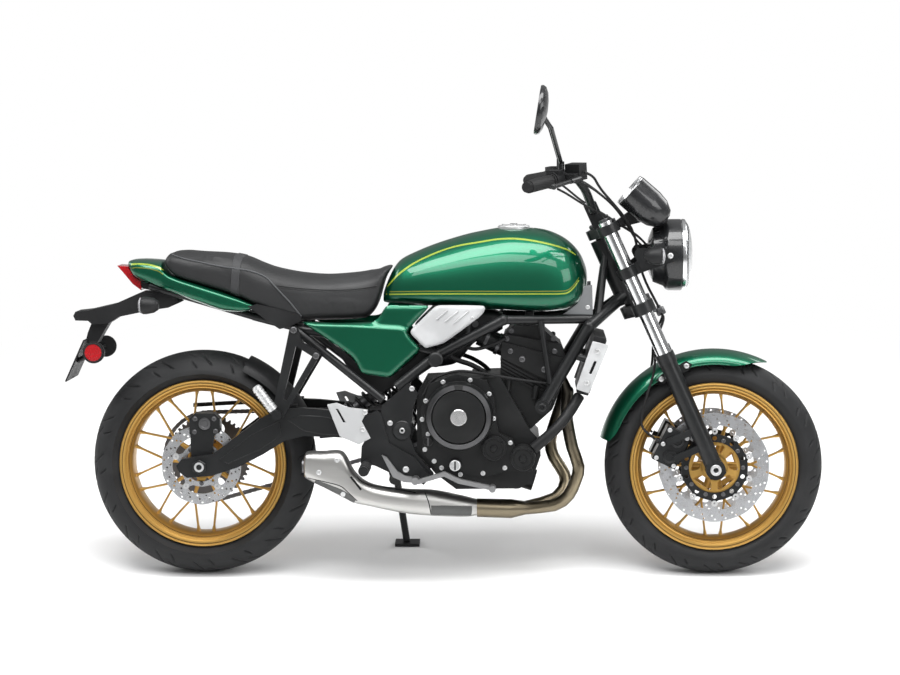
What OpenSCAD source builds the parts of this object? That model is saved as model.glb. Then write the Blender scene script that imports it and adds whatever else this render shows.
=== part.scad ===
// Standard motorcycle, parked on its side stand.
// It is drawn upright, X forward, Y to the rider's left and Z up from the road, with the front axle
// at a fixed X, and parked() then leans it over and centres it.

/* [Stance] */
// Lean to the left on the side stand, degrees
lean = 9; // [8:0.5:10]
// Length of the swingarm from its pivot to the rear axle
swingarm_length = 564.3; // [550:0.1:585]
// Angle of the fork from upright, degrees
rake = 24; // [23.5:0.1:24.5]
// Distance of the fork tubes in front of the steering axis
fork_offset = 30; // [26:1:34]

/* [Wheels] */
// Outer radius of the front tyre
front_radius = 299; // [296:1:302]
// Width of the front tyre
front_width = 120; // [114:1:122]
// Outer radius of the rear tyre
rear_radius = 309; // [304:1:312]
// Width of the rear tyre
rear_width = 160; // [150:1:162]
// Height of the front tyre above its rim flange
front_wall = 68; // [62:1:70]
// Height of the rear tyre above its rim flange
rear_wall = 78; // [72:1:80]
// Depth of the rim's drop from its flange to the inside of its barrel
barrel_depth = 34; // [30:1:38]
// Width of the front rim over its flanges
front_rim_width = 100; // [96:1:104]
// Width of the rear rim over its flanges
rear_rim_width = 126; // [120:1:130]
// Number of spoke pairs in a wheel
spoke_pairs = 10; // [8:1:12]
// Width of one spoke
spoke_width = 7; // [5:0.5:9]
// Diameter of the front brake discs
front_disc_d = 300; // [290:1:304]
// Diameter of the rear brake disc
rear_disc_d = 220; // [210:1:224]
// Thickness of the brake discs
disc_t = 5; // [4:0.5:6]
// Diameter of the wheel axles
axle_d = 20; // [18:0.5:22]
// Diameter of the hole through the wheel axles
axle_bore_d = 14; // [10:0.5:15]
// Teeth of the rear sprocket
sprocket_teeth = 46; // [42:1:48]

/* [Fork and handlebar] */
// Distance between the centres of the fork tubes
fork_spacing = 194; // [192:1:200]
// Diameter of the fork tubes
fork_tube_d = 41; // [39:0.5:43]
// Diameter of the fork legs
fork_leg_d = 48; // [46:0.5:50]
// Length of the fork from axle to tube top
fork_length = 738; // [732:1:745]
// Diameter of the handlebar tube
bar_d = 22; // [20:0.5:23]
// Width of the handlebar over its ends
bar_width = 800; // [780:1:810]
// Diameter of the grips
grip_d = 34; // [30:1:36]
// Length of the grips
grip_length = 122; // [115:1:126]
// Diameter of the mirror heads
mirror_d = 130; // [116:1:136]
// Rise of the mirror heads above the ends of the handlebar
mirror_rise = 198; // [185:1:210]
// Tilt of the mirror heads forward at their tops, degrees
mirror_tilt = 9; // [4:0.5:12]
// Diameter of the headlamp
headlamp_d = 196; // [188:1:197]
// Diameter of the meters
meter_d = 98; // [90:1:100]

/* [Body] */
// Width of the fuel tank
tank_width = 266; // [250:1:272]
// Height of the tank crown above the road
tank_top = 957; // [950:1:962]
// Width of the seat
seat_width = 238; // [220:1:242]
// Width of the tail cowl
tail_width = 200; // [190:1:210]
// Diameter of the fuel lid
lid_d = 88; // [80:1:92]
// Diameter of the filler hole
filler_d = 42; // [36:1:46]
// Diameter of the plate bolt holes
plate_hole_d = 7; // [6:0.5:8]
// Distance between the plate bolt holes
plate_hole_spacing = 146; // [120:1:160]

/* [Frame and engine] */
// Diameter of the frame's down tubes
down_tube_d = 32; // [28:1:34]
// Diameter of the frame's rails
rail_d = 24; // [20:1:26]
// Width of the crankcase between the frame plates
case_width = 257; // [250:1:258]
// Width of the cylinder block
block_width = 196; // [180:1:200]
// Diameter of the clutch drum
clutch_d = 184; // [170:1:190]
// Width inside the swingarm
swingarm_gap = 207; // [205:1:209]
// Thickness of each swingarm side
swingarm_t = 23; // [20:0.5:23.5]
// Distance of the chain from the middle of the motorcycle
chain_y = 92; // [91.5:0.1:92.5]
// Diameter of the exhaust header pipes
header_d = 34; // [30:1:37]
// Width of the muffler
muffler_width = 84; // [76:1:86]
// Reach of the rider's footrests from the middle
footrest_reach = 300; // [280:1:320]
// Height of the side stand's pivot
stand_height = 250; // [245:1:254]

/* [Clearances] */
// Gap where a piece seats on another
fit = 0.3; // [0.2:0.05:0.4]
// Gap of a pin or shaft in its bore, on the radius
running = 0.4; // [0.3:0.05:0.6]

/* [Hidden] */

// Facets that stand for a full circle when the shapes are viewed
$fn = 72;

// Axles and steering
front_x = 1405;
front_axle = [front_x, 0, front_radius];
pivot = [555, 0, 411];
arm_length = swingarm_length;
rear_x = pivot.x - sqrt(pow(arm_length, 2) - pow(pivot.z - rear_radius, 2));
rear_axle_at = [rear_x, 0, rear_radius];
front_crown = front_width / 2;
rear_crown = rear_width / 2;
leg_y = fork_spacing / 2;
tube_r = fork_tube_d / 2;
leg_r = fork_leg_d / 2;
bar_r = bar_d / 2;
axle_r = axle_d / 2;
axle_bore_r = axle_bore_d / 2;

// Sideways places of what stands beside the wheels
front_disc_y = leg_y - leg_r - 6.5 - disc_t / 2;
rear_disc_y = 86;
arm_in = swingarm_gap / 2;
arm_out = arm_in + swingarm_t;
plate_in = max(case_width / 2, arm_out + 2) + fit;
plate_out = plate_in + 18;
plate_y = (plate_in + plate_out) / 2;

// Parking: the lift of the round tyre as it leans, and the road as the upright motorcycle sees it
lift = rear_crown * (1 - cos(lean));
function road(y) = y * tan(lean) - lift / cos(lean);
function leaned_y(y, z) = y * cos(lean) + z * sin(lean);

// The plate, the mirrors and the footrests reach furthest out
plate_top = [-322, 649];
plate_bottom = [-372, 540];
bar_f = -18;
bar_s = 778;
bar_middle = fork_point(bar_f, 0, bar_s);
bar_end = bar_middle + [-176, bar_width / 2, 72];
bar_elbow = bar_middle + [-60, bar_width / 4, 97];
mirror_at = bar_end + [37, -38, mirror_rise];
mirror_r = mirror_d / 2;
footrest_at = [459, 319];
footrest_r = 13;
plate_lean = atan2(plate_top.x - plate_bottom.x, plate_top.y - plate_bottom.y);
centre_x = (front_x + front_radius + plate_bottom.x) / 2;
centre_y = (leaned_y(mirror_at.y, mirror_at.z) + mirror_r
    + leaned_y(-footrest_reach, footrest_at.y - footrest_r * cos(lean)) ) / 2;

module parked() {
    translate([-centre_x, -centre_y, lift])
        rotate([-lean, 0, 0])
            children();
}

// Frames of reference
module at_front() {
    translate(front_axle)
        children();
}

module on_fork() {
    at_front()
        rotate([0, -rake, 0])
            children();
}

module at_rear() {
    translate(rear_axle_at)
        children();
}

// Draws what lies in the XY plane upright in XZ, with its height running to the right
module side() {
    rotate([90, 0, 0])
        children();
}

module both() {
    children();
    mirror([0, 1, 0])
        children();
}

function fork_point(f, y, s) = front_axle
    + [f * cos(rake) - s * sin(rake), y, f * sin(rake) + s * cos(rake)];

// Shared maths
function unit(v) = v / norm(v);
function mirrored(points) = concat(points, [for (i = [len(points) - 1:-1:0]) [points[i].x, -points[i].y]]);
function arc(cx, cy, r, a0, a1, n) =
    [for (i = [0:n]) let (a = a0 + (a1 - a0) * i / n) [cx + r * cos(a), cy + r * sin(a)]];
function row_at(rows, i) = i < 0 ? 2 * rows[0] - rows[1]
    : i >= len(rows) ? 2 * rows[len(rows) - 1] - rows[len(rows) - 2]
    : rows[i];
function spline(a, b, c, d, t) =
    0.5 * (2 * b + (c - a) * t + (2 * a - 5 * b + 4 * c - d) * t * t + (3 * b - a - 3 * c + d) * t * t * t);
function along(rows, u) = let (n = len(rows) - 1, k = min(n - 1, floor(u)), t = u - k)
    spline(row_at(rows, k - 1), row_at(rows, k), row_at(rows, k + 1), row_at(rows, k + 2), t);
function curve(rows, steps) =
    [for (i = [0:(len(rows) - 1) * steps]) along(rows, i / steps)];

// Faces of a skin over rings of m points, closed at both ends
function skin_faces(n, m) = concat(
    [[for (k = [0:m - 1]) k]],
    [[for (k = [m - 1:-1:0]) (n - 1) * m + k]],
    [for (i = [0:n - 2], k = [0:m - 1], half = [0, 1])
        let (a = i * m + k, b = i * m + (k + 1) % m)
        half == 0 ? [a, b + m, b] : [a, a + m, b + m]]);

// One section of a body: x, middle y, half width, bottom, waist and top height, and two exponents
function section(row, m) = [for (k = [0:m - 1])
    let (a = 360 * (k + 0.5) / m, c = cos(a), s = sin(a), e = s < 0 ? row[6] : row[7])
    [row[0], row[1] + row[2] * sign(c) * pow(abs(c), 2 / e),
        row[4] + (s < 0 ? row[4] - row[3] : row[5] - row[4]) * sign(s) * pow(abs(s), 2 / e)]];

module loft(rows, steps, m) {
    stations = steps == 1 ? rows : curve(rows, steps);
    points = [for (row = stations) each section(row, m)];
    polyhedron(points, skin_faces(len(stations), m), convexity = 6);
}

// A round tube along points; its sections turn about the given direction
module tube(points, r, m, across = [0, 1, 0]) {
    last = len(points) - 1;
    rings = [for (i = [0:last])
        let (t = unit(points[min(i + 1, last)] - points[max(i - 1, 0)]),
            n = unit(cross(t, across)), b = cross(t, n))
        for (k = [0:m - 1]) points[i] + r * (cos(360 * k / m) * n + sin(360 * k / m) * b)];
    polyhedron(rings, skin_faces(last + 1, m), convexity = 6);
}

// A straight round bar between two points
module rod(a, b, r) {
    v = b - a;
    translate(a)
        rotate([0, acos(v.z / norm(v)), atan2(v.y, v.x)])
            cylinder(h = norm(v), r = r);
}

// A bent pipe of short rounded lengths
module pipe(points, r, m) {
    for (i = [0:len(points) - 2])
        hull() {
            translate(points[i])
                sphere(r, $fn = m);
            translate(points[i + 1])
                sphere(r, $fn = m);
        }
}

// An upright outline in XZ, between two places across the motorcycle
module slab(points, y0, y1) {
    translate([0, y1, 0])
        side()
            linear_extrude(y1 - y0)
                polygon(points);
}

// A round bar across the motorcycle
module cross_bar(x, z, y0, y1, r) {
    translate([x, y1, z])
        side()
            cylinder(h = y1 - y0, r = r);
}

// Wheels
bead_depth = 13;

module tyre(radius, half, bead_half, wall) {
    flange_r = radius - wall;
    side()
        rotate_extrude()
            polygon(mirrored(concat(
                [[flange_r - bead_depth + fit, bead_half], [flange_r + 2, bead_half],
                    [flange_r + 5, bead_half + 3]],
                arc(radius - half, 0, half, 76, 0, 14))));
}

// Half of the rim's outline from the bead seat over the flange to the barrel, then the other half
function rim_outline(half, r) = mirrored([[r - bead_depth, half - 6], [r - 1, half - 6], [r, half - 3],
    [r - 1.5, half - 0.5], [r - 5, half], [r - 14, half - 2], [r - 22, half - 10],
    [r - barrel_depth + 3, half - 22], [r - barrel_depth, half - 34]]);

module spokes(depth, apex_r, barrel_r) {
    step = 360 / spoke_pairs;
    linear_extrude(depth, center = true)
        for (k = [0:spoke_pairs - 1], lean_way = [-1, 1]) {
            apex = 90 - step / 2 + step * k;
            from = apex_r * [cos(apex), sin(apex)];
            to = (barrel_r + 3) * [cos(apex + lean_way * step / 3), sin(apex + lean_way * step / 3)];
            translate(from)
                rotate(atan2(to.y - from.y, to.x - from.x))
                    translate([0, -spoke_width / 2])
                        square([norm(to - from), spoke_width]);
        }
}

module wheel(rim_r, half, hub_right, hub_left, flange_r, flanges) {
    hub_r = 34;
    window_r = 10;
    difference() {
        union() {
            rotate_extrude()
                polygon(rim_outline(half, rim_r));
            spokes(24, hub_r - 4, rim_r - barrel_depth);
            translate([0, 0, -hub_left])
                cylinder(h = hub_left + hub_right, r = hub_r);
            for (z = flanges)
                translate([0, 0, z])
                    cylinder(h = 9, r = flange_r);
        }
        translate([0, 0, -hub_left - 1])
            cylinder(h = hub_left + hub_right + 2, r = axle_r + running);
        for (z = flanges, k = [0:4])
            rotate(90 + 72 * k)
                translate([flange_r - 17, 0, z - 1])
                    cylinder(h = 11, r = window_r);
    }
}

module front_tyre() {
    color("#1c1c1d")
        at_front()
            tyre(front_radius, front_width / 2, front_rim_width / 2 - 6.5, front_wall);
}

front_hub = front_disc_y - disc_t / 2 - fit;

module front_wheel_rim() {
    color("#c49a43")
        at_front()
            side()
                wheel(front_radius - front_wall, front_rim_width / 2, front_hub, front_hub, 66,
                    [front_hub - 9, -front_hub]);
}

// A brake disc: the ring that is braked, its carrier and the buttons between them
module disc(r, band, carrier_r, hole_r, buttons) {
    linear_extrude(disc_t, center = true)
        difference() {
            union() {
                difference() {
                    circle(r);
                    circle(r - band);
                }
                circle(carrier_r);
                for (k = [0:buttons - 1])
                    rotate(90 + 360 * k / buttons)
                        translate([carrier_r - 6, -13])
                            square([r - band - carrier_r + 10, 26]);
            }
            circle(hole_r);
        }
}

module front_discs() {
    color("#b9bcbf")
        at_front()
            for (way = [-1, 1])
                translate([0, way * front_disc_y, 0])
                    side()
                        disc(front_disc_d / 2, 36, 92, 56, 5);
}

module rear_tyre() {
    color("#1c1c1d")
        at_rear()
            tyre(rear_radius, rear_width / 2, rear_rim_width / 2 - 6.5, rear_wall);
}

rear_hub_right = rear_disc_y - disc_t / 2 - fit;
sprocket_t = 6;
rear_hub_left = chain_y - sprocket_t / 2 - fit;

module rear_wheel_rim() {
    color("#c49a43")
        at_rear()
            side()
                wheel(rear_radius - rear_wall, rear_rim_width / 2, rear_hub_right, rear_hub_left, 60,
                    [rear_hub_right - 9, -rear_hub_left]);
}

module rear_disc() {
    color("#b9bcbf")
        at_rear()
            translate([0, -rear_disc_y, 0])
                side()
                    disc(rear_disc_d / 2, 30, 62, 46, 5);
}

// Chain and sprockets: the chain runs just outside the turning teeth
chain_rear_r = 125;
chain_front_r = 44;
chain_half = 6.5;
tooth_tip_r = chain_rear_r - chain_half - 0.8;
front_sprocket = [640, 0, 405];

module rear_sprocket() {
    root_r = tooth_tip_r - 8;
    step = 360 / sprocket_teeth;
    color("#4a4a4c")
        at_rear()
            translate([0, chain_y, 0])
                side()
                    linear_extrude(sprocket_t, center = true)
                        difference() {
                            polygon([for (k = [0:sprocket_teeth - 1], p = [0:3])
                                let (a = step * (k + p / 4), r = p % 4 < 2 ? root_r : tooth_tip_r)
                                r * [cos(a), sin(a)]]);
                            circle(34);
                            for (k = [0:4])
                                rotate(72 * k)
                                    translate([82, 0])
                                        circle(18);
                        }
}

// Points of the chain's loop at a distance from the line of its pins, counted forward on the top run
function loop(d) = let (
    c0 = [rear_x, rear_radius], c1 = [front_sprocket.x, front_sprocket.z],
    turn = atan2(c1.y - c0.y, c1.x - c0.x),
    open = asin((chain_rear_r - chain_front_r) / norm(c1 - c0)))
    concat(arc(c0.x, c0.y, chain_rear_r + d, turn + 90 - open, turn + 270 + open, 40),
        arc(c1.x, c1.y, chain_front_r + d, turn - 90 + open, turn + 90 - open, 20));

module drive_chain() {
    plate_t = 1.8;
    color("#3a3a3b")
        for (way = [-1, 1]) {
            y = chain_y + way * 5.2;
            translate([0, y + plate_t / 2, 0])
                side()
                    linear_extrude(plate_t)
                        difference() {
                            polygon(loop(chain_half));
                            polygon(loop(-chain_half));
                        }
        }
    color("#55565a")
        translate([0, chain_y + 4.4, 0])
            side()
                linear_extrude(8.8)
                    difference() {
                        polygon(loop(4));
                        polygon(loop(-4));
                    }
}

// Fork
leg_top = 346;
upper_clamp_at = 702;
lower_clamp_at = 466;
upper_clamp_t = 26;
lower_clamp_t = 32;
stem_r = 13;
head_r = 30;

module fork_tubes() {
    color("#d5d8da")
        on_fork()
            for (way = [-1, 1])
                translate([0, way * leg_y, leg_top - 46])
                    cylinder(h = fork_length - leg_top + 46, r = tube_r);
}

module fork_legs() {
    color("#1e1f20")
        on_fork()
            both()
                difference() {
                    union() {
                        translate([0, leg_y, -20])
                            cylinder(h = leg_top + 20, r = leg_r);
                        translate([0, leg_y, leg_top - 30])
                            cylinder(h = 30, r = leg_r + 2.5);
                        translate([0, leg_y, 0])
                            rotate([90, 0, 0])
                                cylinder(h = fork_leg_d - 2, r = leg_r + 3, center = true);
                        for (s = [62, 112])
                            translate([-92, leg_y + 2, s])
                                cube([92, 12, 18]);
                        translate([-18, mudguard_half + fit, mudguard_edge - 10])
                            cube([36, leg_y - leg_r - mudguard_half + 4, 20]);
                    }
                    translate([0, leg_y, leg_top - 50])
                        cylinder(h = 60, r = tube_r + 0.1);
                    translate([0, leg_y, 0])
                        rotate([90, 0, 0])
                            cylinder(h = fork_leg_d + 12, r = axle_r + 0.1, center = true);
                }
}

// The plan of a fork clamp, with its two tubes and the stem behind them
module clamp_plan(grip) {
    difference() {
        union() {
            for (way = [-1, 1])
                translate([0, way * leg_y])
                    circle(tube_r + grip);
            translate([-fork_offset, 0])
                circle(head_r);
            polygon([[tube_r, -leg_y], [tube_r, leg_y], [-tube_r, leg_y], [-fork_offset - 22, 20],
                [-fork_offset - 22, -20], [-tube_r, -leg_y]]);
        }
        for (way = [-1, 1])
            translate([0, way * leg_y])
                circle(tube_r + 0.1);
    }
}

riser_y = 44;

module upper_clamp() {
    color("#242526")
        on_fork()
            difference() {
                union() {
                    translate([0, 0, upper_clamp_at])
                        linear_extrude(upper_clamp_t)
                            clamp_plan(10);
                    for (way = [-1, 1])
                        translate([bar_f - 18, way * riser_y - 14, upper_clamp_at + 10])
                            cube([36, 28, bar_s + 17 - upper_clamp_at - 10]);
                }
                translate([bar_f, 0, bar_s])
                    rotate([90, 0, 0])
                        cylinder(h = 2 * riser_y + 40, r = bar_r + fit, center = true);
            }
}

module lower_clamp() {
    color("#1e1f20")
        on_fork() {
            translate([0, 0, lower_clamp_at])
                linear_extrude(lower_clamp_t)
                    clamp_plan(11);
            translate([-fork_offset, 0, lower_clamp_at + 10])
                cylinder(h = upper_clamp_at - lower_clamp_at - 10 - fit, r = stem_r);
        }
}

module front_axle_bar() {
    color("#c9ccce")
        at_front()
            side()
                difference() {
                    union() {
                        cylinder(h = 2 * (leg_y + leg_r) + 2, r = axle_r, center = true);
                        for (way = [-1, 1]) {
                            translate([0, 0, way * (leg_y + leg_r + 3)])
                                cylinder(h = 6 - 2 * fit, r = axle_r + 5, center = true);
                            translate([0, 0, way * (front_hub + leg_y - leg_r) / 2])
                                cylinder(h = leg_y - leg_r - front_hub - 2 * fit, r = axle_r + 6,
                                    center = true);
                        }
                    }
                    cylinder(h = 400, r = axle_bore_r, center = true);
                }
}

// Front brakes: the calipers sit behind the legs and reach over the rim of the disc
caliper_turn = 40;

module front_calipers() {
    disc_r = front_disc_d / 2;
    outer = disc_r + 18;
    inner = disc_r - 52;
    color("#202122")
        on_fork()
            both()
                rotate([0, -caliper_turn, 0])
                    difference() {
                        union() {
                            translate([-50, front_disc_y - 30, inner])
                                cube([100, leg_y + 2 - fit - front_disc_y + 30, outer - inner]);
                            translate([-38, front_disc_y - 27, inner - 8])
                                cube([76, 20, 10]);
                            translate([0, leg_y - 16, outer - 2])
                                cylinder(h = 14, r = 7);
                        }
                        translate([-60, front_disc_y - disc_t / 2 - 5, inner - 20])
                            cube([120, disc_t + 10, disc_r + 5 - inner + 20]);
                    }
}

mudguard_half = 68;
mudguard_rise = 38;
mudguard_edge = front_radius - 16;

module arch(edge, half, rise, wall, from, to) {
    side()
        rotate([0, 0, from])
            rotate_extrude(angle = to - from)
                polygon(concat(
                    [for (a = [0:15:180]) [edge + rise * sin(a), half * cos(a)]],
                    [for (a = [180:-15:0]) [edge + (rise - wall) * sin(a), (half - wall) * cos(a)]]));
}

module front_mudguard() {
    color("#0d5a3a")
        at_front()
            arch(mudguard_edge, mudguard_half, mudguard_rise, 3, 63, 166);
}

// Handlebar: a clamped middle, a rise to each elbow, and swept back ends
bar_way = unit(bar_end - bar_elbow);
bar_run = norm(bar_end - bar_elbow);

function other_side(points) = [for (i = [len(points) - 1:-1:0]) [points[i].x, -points[i].y, points[i].z]];

module handlebar() {
    half_path = concat(
        [bar_middle + [0, 4, 0], bar_middle + [0, 66, 0]],
        curve([bar_middle + [0, 84, 3], bar_middle + [-20, 132, 54], bar_elbow - 12 * bar_way], 4),
        [bar_elbow + 20 * bar_way, bar_end]);
    color("#2a2b2c")
        tube(concat(other_side(half_path), half_path), bar_r, 16, [1, 0, 0]);
}

// Places pieces on the left half of the handlebar, with height outward along it
module on_bar() {
    translate(bar_elbow)
        rotate([0, acos(bar_way.z), atan2(bar_way.y, bar_way.x)])
            children();
}

grip_from = bar_run - grip_length;

module grips() {
    color("#1a1a1b")
        both()
            on_bar()
                difference() {
                    union() {
                        translate([0, 0, grip_from])
                            cylinder(h = grip_length - 4, r = grip_d / 2);
                        translate([0, 0, grip_from])
                            cylinder(h = 6, r = grip_d / 2 + 3);
                        translate([0, 0, bar_run + fit])
                            cylinder(h = 6, r = grip_d / 2 - 3);
                        translate([0, 0, bar_run - 6])
                            cylinder(h = 8, r = grip_d / 2 - 2);
                    }
                    translate([0, 0, grip_from - 1])
                        cylinder(h = grip_length + 1 + fit, r = bar_r + fit);
                }
}

// Switch housings with the lever perches, and the brake fluid reservoir on the right
lever_ahead = 46;

module perch(reservoir) {
    difference() {
        union() {
            translate([0, 0, grip_from - 40])
                cylinder(h = 38, r = 22);
            translate([-26, -18, grip_from - 38])
                cube([30, 36, 30]);
            translate([0, 0, grip_from - 70])
                cylinder(h = 26, r = 17);
            translate([-12, 6, grip_from - 68])
                cube([24, lever_ahead - 5, 22]);
            if (reservoir)
                translate([-36, 6, grip_from - 108])
                    cube([44, 44, 42]);
        }
        translate([0, 0, grip_from - 130])
            cylinder(h = 150, r = bar_r + fit);
    }
}

module bar_controls() {
    color("#1d1e1f") {
        on_bar()
            mirror([0, 1, 0])
                perch(false);
        mirror([0, 1, 0])
            on_bar()
                mirror([0, 1, 0])
                    perch(true);
    }
}

module levers() {
    color("#2b2c2d")
        both()
            on_bar() {
                from = [0, -lever_ahead - 8 - fit, grip_from - 57];
                rod(from, from + [0, -6, 60], 7);
                rod(from + [0, -6, 56], [4, -lever_ahead - 8, bar_run - 42], 5.5);
                translate([4, -lever_ahead - 8, bar_run - 42])
                    sphere(8);
            }
}

mirror_foot = bar_elbow + (grip_from - 56) * bar_way + [0, 0, 18 + 2 * fit];

module mirrors() {
    depth = 26;
    r = mirror_r;
    elbow = mirror_at + [25, -18, -46];
    color("#161617")
        both() {
            rod(mirror_foot, mirror_foot + [0, 0, 26], 8);
            rod(mirror_foot + [0, 0, 20], elbow, 5.5);
            rod(elbow, mirror_at + [8, 0, -20], 5.5);
            translate(elbow)
                sphere(6);
            translate(mirror_at)
                rotate([0, 90 + mirror_tilt, 0])
                    rotate_extrude()
                        polygon([[0, -8], [r - 6, -8], [r - 6, -12], [r - 2, -12], [r, -8], [r, -4],
                            [r - 4, 3], [r - 18, 10], [r - 38, 14], [0, depth - 10]]);
        }
}

module mirror_glasses() {
    color("#c8d2d8")
        both()
            translate(mirror_at)
                rotate([0, mirror_tilt - 90, 0])
                    translate([0, 0, 8 + fit])
                        cylinder(h = 2.5, r = mirror_r - 6 - fit);
}

// Headlamp, its bracket, the turn signals and the meters
lamp_at = [-88, 579];
lamp_r = headlamp_d / 2;

module at_lamp() {
    at_front()
        translate([lamp_at.x, 0, lamp_at.y])
            rotate([0, 90, 0])
                children();
}

module headlamp_shell() {
    color("#1a1b1c")
        at_lamp()
            rotate_extrude()
                polygon([[0, -92], [44, -92], [lamp_r - 24, -80], [lamp_r - 12, -52], [lamp_r - 4, -46],
                    [lamp_r, -38], [lamp_r, -4], [lamp_r - 3, 0], [0, 0]]);
}

module headlamp_lens() {
    color("#dfe4e8")
        at_lamp()
            rotate_extrude()
                polygon(concat([[0, fit], [lamp_r - 4, fit], [lamp_r - 3, 8]],
                    [for (a = [15:15:75]) [(lamp_r - 6) * cos(a), 8 + 21 * sin(a)]], [[0, 29]]));
}

bracket_in = lamp_r + fit;
bracket_t = 5;

module headlamp_bracket() {
    color("#1d1e1f")
        on_fork()
            both()
                difference() {
                    union() {
                        translate([0, leg_y, 572])
                            cylinder(h = 30, r = tube_r + 7);
                        slab([[tube_r + 1, 572], [tube_r + 1, 602], [60, 612], [122, 598], [134, 582],
                            [124, 564], [60, 570]], bracket_in, bracket_in + bracket_t);
                        translate([tube_r - 2, bracket_in, 576])
                            cube([14, bracket_t, 22]);
                    }
                    translate([0, leg_y, 560])
                        cylinder(h = 60, r = tube_r + 0.1);
                }
}

signal_y = 150;

// A turn signal: a stalk from the given place and a round body with its lens to the front
module signal(stalk_from) {
    cross_bar(0, 0, stalk_from, signal_y - 6, 7);
    translate([0, signal_y, 0])
        rotate([0, 90, 0])
            rotate_extrude()
                polygon([[0, -32], [12, -30], [20, -18], [24, 2], [24, 12], [21, 17], [0, 19]]);
}

module front_indicators() {
    color("#202122")
        at_front()
            both()
                translate([-165, 0, 583])
                    signal(bracket_in + bracket_t + fit);
}

meter_at = [-229, 756];
meter_tilt = 49;
meter_y = meter_d / 2 + 6;

module meter_pods() {
    r = meter_d / 2;
    color("#1b1c1d") {
        at_front()
            for (way = [-1, 1])
                translate([meter_at.x, way * meter_y, meter_at.y])
                    rotate([0, -meter_tilt, 0])
                        rotate_extrude()
                            polygon([[0, -7], [r - 7, -7], [r - 6, 0], [r - 1, 0], [r, -4], [r, -62],
                                [r - 5, -92], [r - 18, -116], [r - 30, -124], [0, -127]]);
        on_fork()
            slab([[tube_r + fit, upper_clamp_at + 2], [tube_r + fit, upper_clamp_at + 20],
                [92, 738], [148, 704], [148, 682], [100, 690]], -9, 9);
    }
}

// Brake hoses from the reservoir down to the calipers
module brake_hoses() {
    r = 3.5;
    bar_elbow_right = [bar_elbow.x, -bar_elbow.y, bar_elbow.z];
    hose_y = leg_y - 16;
    color("#19191a") {
        tube(curve([bar_elbow_right + [33.5, -48, 11], bar_elbow_right + [58, -38, -4],
            bar_elbow_right + [82, 26, -40], fork_point(58, -62, 690),
            fork_point(36, -20, 560), fork_point(40, -6, 452)], 5), r, 8);
        both()
            tube(curve([fork_point(40, 6, 440), fork_point(36, 40, 424), fork_point(-6, 62, 380),
                fork_point(-44, 72, 310), fork_point(-98, 78, 246), fork_point(-134, hose_y, 190),
                fork_point(-117, hose_y, 139.4)], 5), r, 8);
    }
}

// Inner faces of the side panels
panel_y = 126;
duct_y = 130;

// Frame: the steering head, down tubes, rails, pivot plates and the rails under the seat
head_low = fork_point(-fork_offset, 0, 530);
head_high = fork_point(-fork_offset, 0, 660);
down_knee = [1062, 105, 690];
engine_bolt = [934, 132, 474];
rail_front = [1086, 84, 708];
rail_knee = [830, 124, 709];
rail_low = [655, 122, 618];
plate_joint = [540, plate_y, 528];
seat_joint = [560, 100, 640];
seat_rail = [300, 98, 678];
tail_rail = [150, 66, 714];
tail_end = [-140, 62, 800];
strut_top = [262, 96, 682];
strut_foot = [504, plate_y, 492];
stand_pivot = [520, plate_out + 11, stand_height];
stand_tilt = 20;

module on_stand_pivot() {
    translate(stand_pivot)
        rotate([stand_tilt - 90, 0, 0])
            children();
}

// The two bends at the ends of the slanted rail, with a gap to cut neighbours away by
module rail_bends(gap) {
    translate(rail_knee)
        sphere(rail_d / 2 + 3 + gap);
    translate(rail_low)
        sphere(rail_d / 2 + 3 + gap);
}

module frame_side() {
    dr = down_tube_d / 2;
    rr = rail_d / 2;
    rod(head_low + [0, 12, 0], down_knee, dr);
    rod(down_knee, engine_bolt, dr);
    translate(down_knee)
        sphere(dr * 1.05);
    cross_bar(engine_bolt.x, engine_bolt.z, block_width / 2 + fit, engine_bolt.y + 18, 19);
    rod(rail_front, rail_knee, rr);
    rod(head_high + [0, 14, 0], rail_front, 10);
    rod([930, 121, 706], [955, 127, 536], 8);
    rod([1012, 114, 613.6], [1053.7, 114, 600.1], 9);
    rod([900, 50, 704], [900, 50, 727.4 - fit], 12);
}

module frame() {
    color("#18191a")
        difference() {
            union() {
                both()
                    frame_side();
                on_fork()
                    translate([-fork_offset, 0, lower_clamp_at + lower_clamp_t + 7])
                        cylinder(h = upper_clamp_at - lower_clamp_at - lower_clamp_t - 14, r = head_r);
                cross_bar(900, 704, -116, 116, 10);
            }
            on_fork()
                translate([-fork_offset, 0, lower_clamp_at])
                    cylinder(h = upper_clamp_at - lower_clamp_at, r = stem_r + running);
            both()
                rail_bends(fit);
        }
}

// The pivot plates with the slanted rails above them, the swingarm's shaft and the side stand's lug
function plate_outline() = [[500, 478], [572, 540], [598, 512], [585, 470], [576, 390], [592, 350],
    [640, 292], [612, 262], [560, 300], [500, 350], [490, 420]];

module pivot_plates() {
    rr = rail_d / 2 + 2;
    color("#18191a") {
        both() {
            rod(rail_knee, rail_low, rr);
            rod(rail_low, plate_joint, rr);
            rail_bends(0);
            slab(plate_outline(), plate_in, plate_out);
            cross_bar(646, 603, 126, 146, 20);
            cross_bar(735, 700, 112, duct_y - fit, 7);
            rod([735, 123, 658], [735, 121, 700], 7);
        }
        cross_bar(590, 568, -128, 128, 10);
        cross_bar(pivot.x, pivot.z, -plate_out - 4, plate_out + 4, 10);
        slab([[500, 352], [556, 302], [548, 240], [508, 232], [492, 300]], plate_in, plate_out);
        on_stand_pivot() {
            translate([0, 0, -34])
                cylinder(h = 32, r = 17);
            translate([0, 0, -6])
                cylinder(h = 26, r = 6);
        }
    }
}

// The rails that carry the seat and the tail
tail_cross_z = tail_rail.z + (tail_rail.x + 100) / (tail_rail.x - tail_end.x) * (tail_end.z - tail_rail.z);

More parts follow.
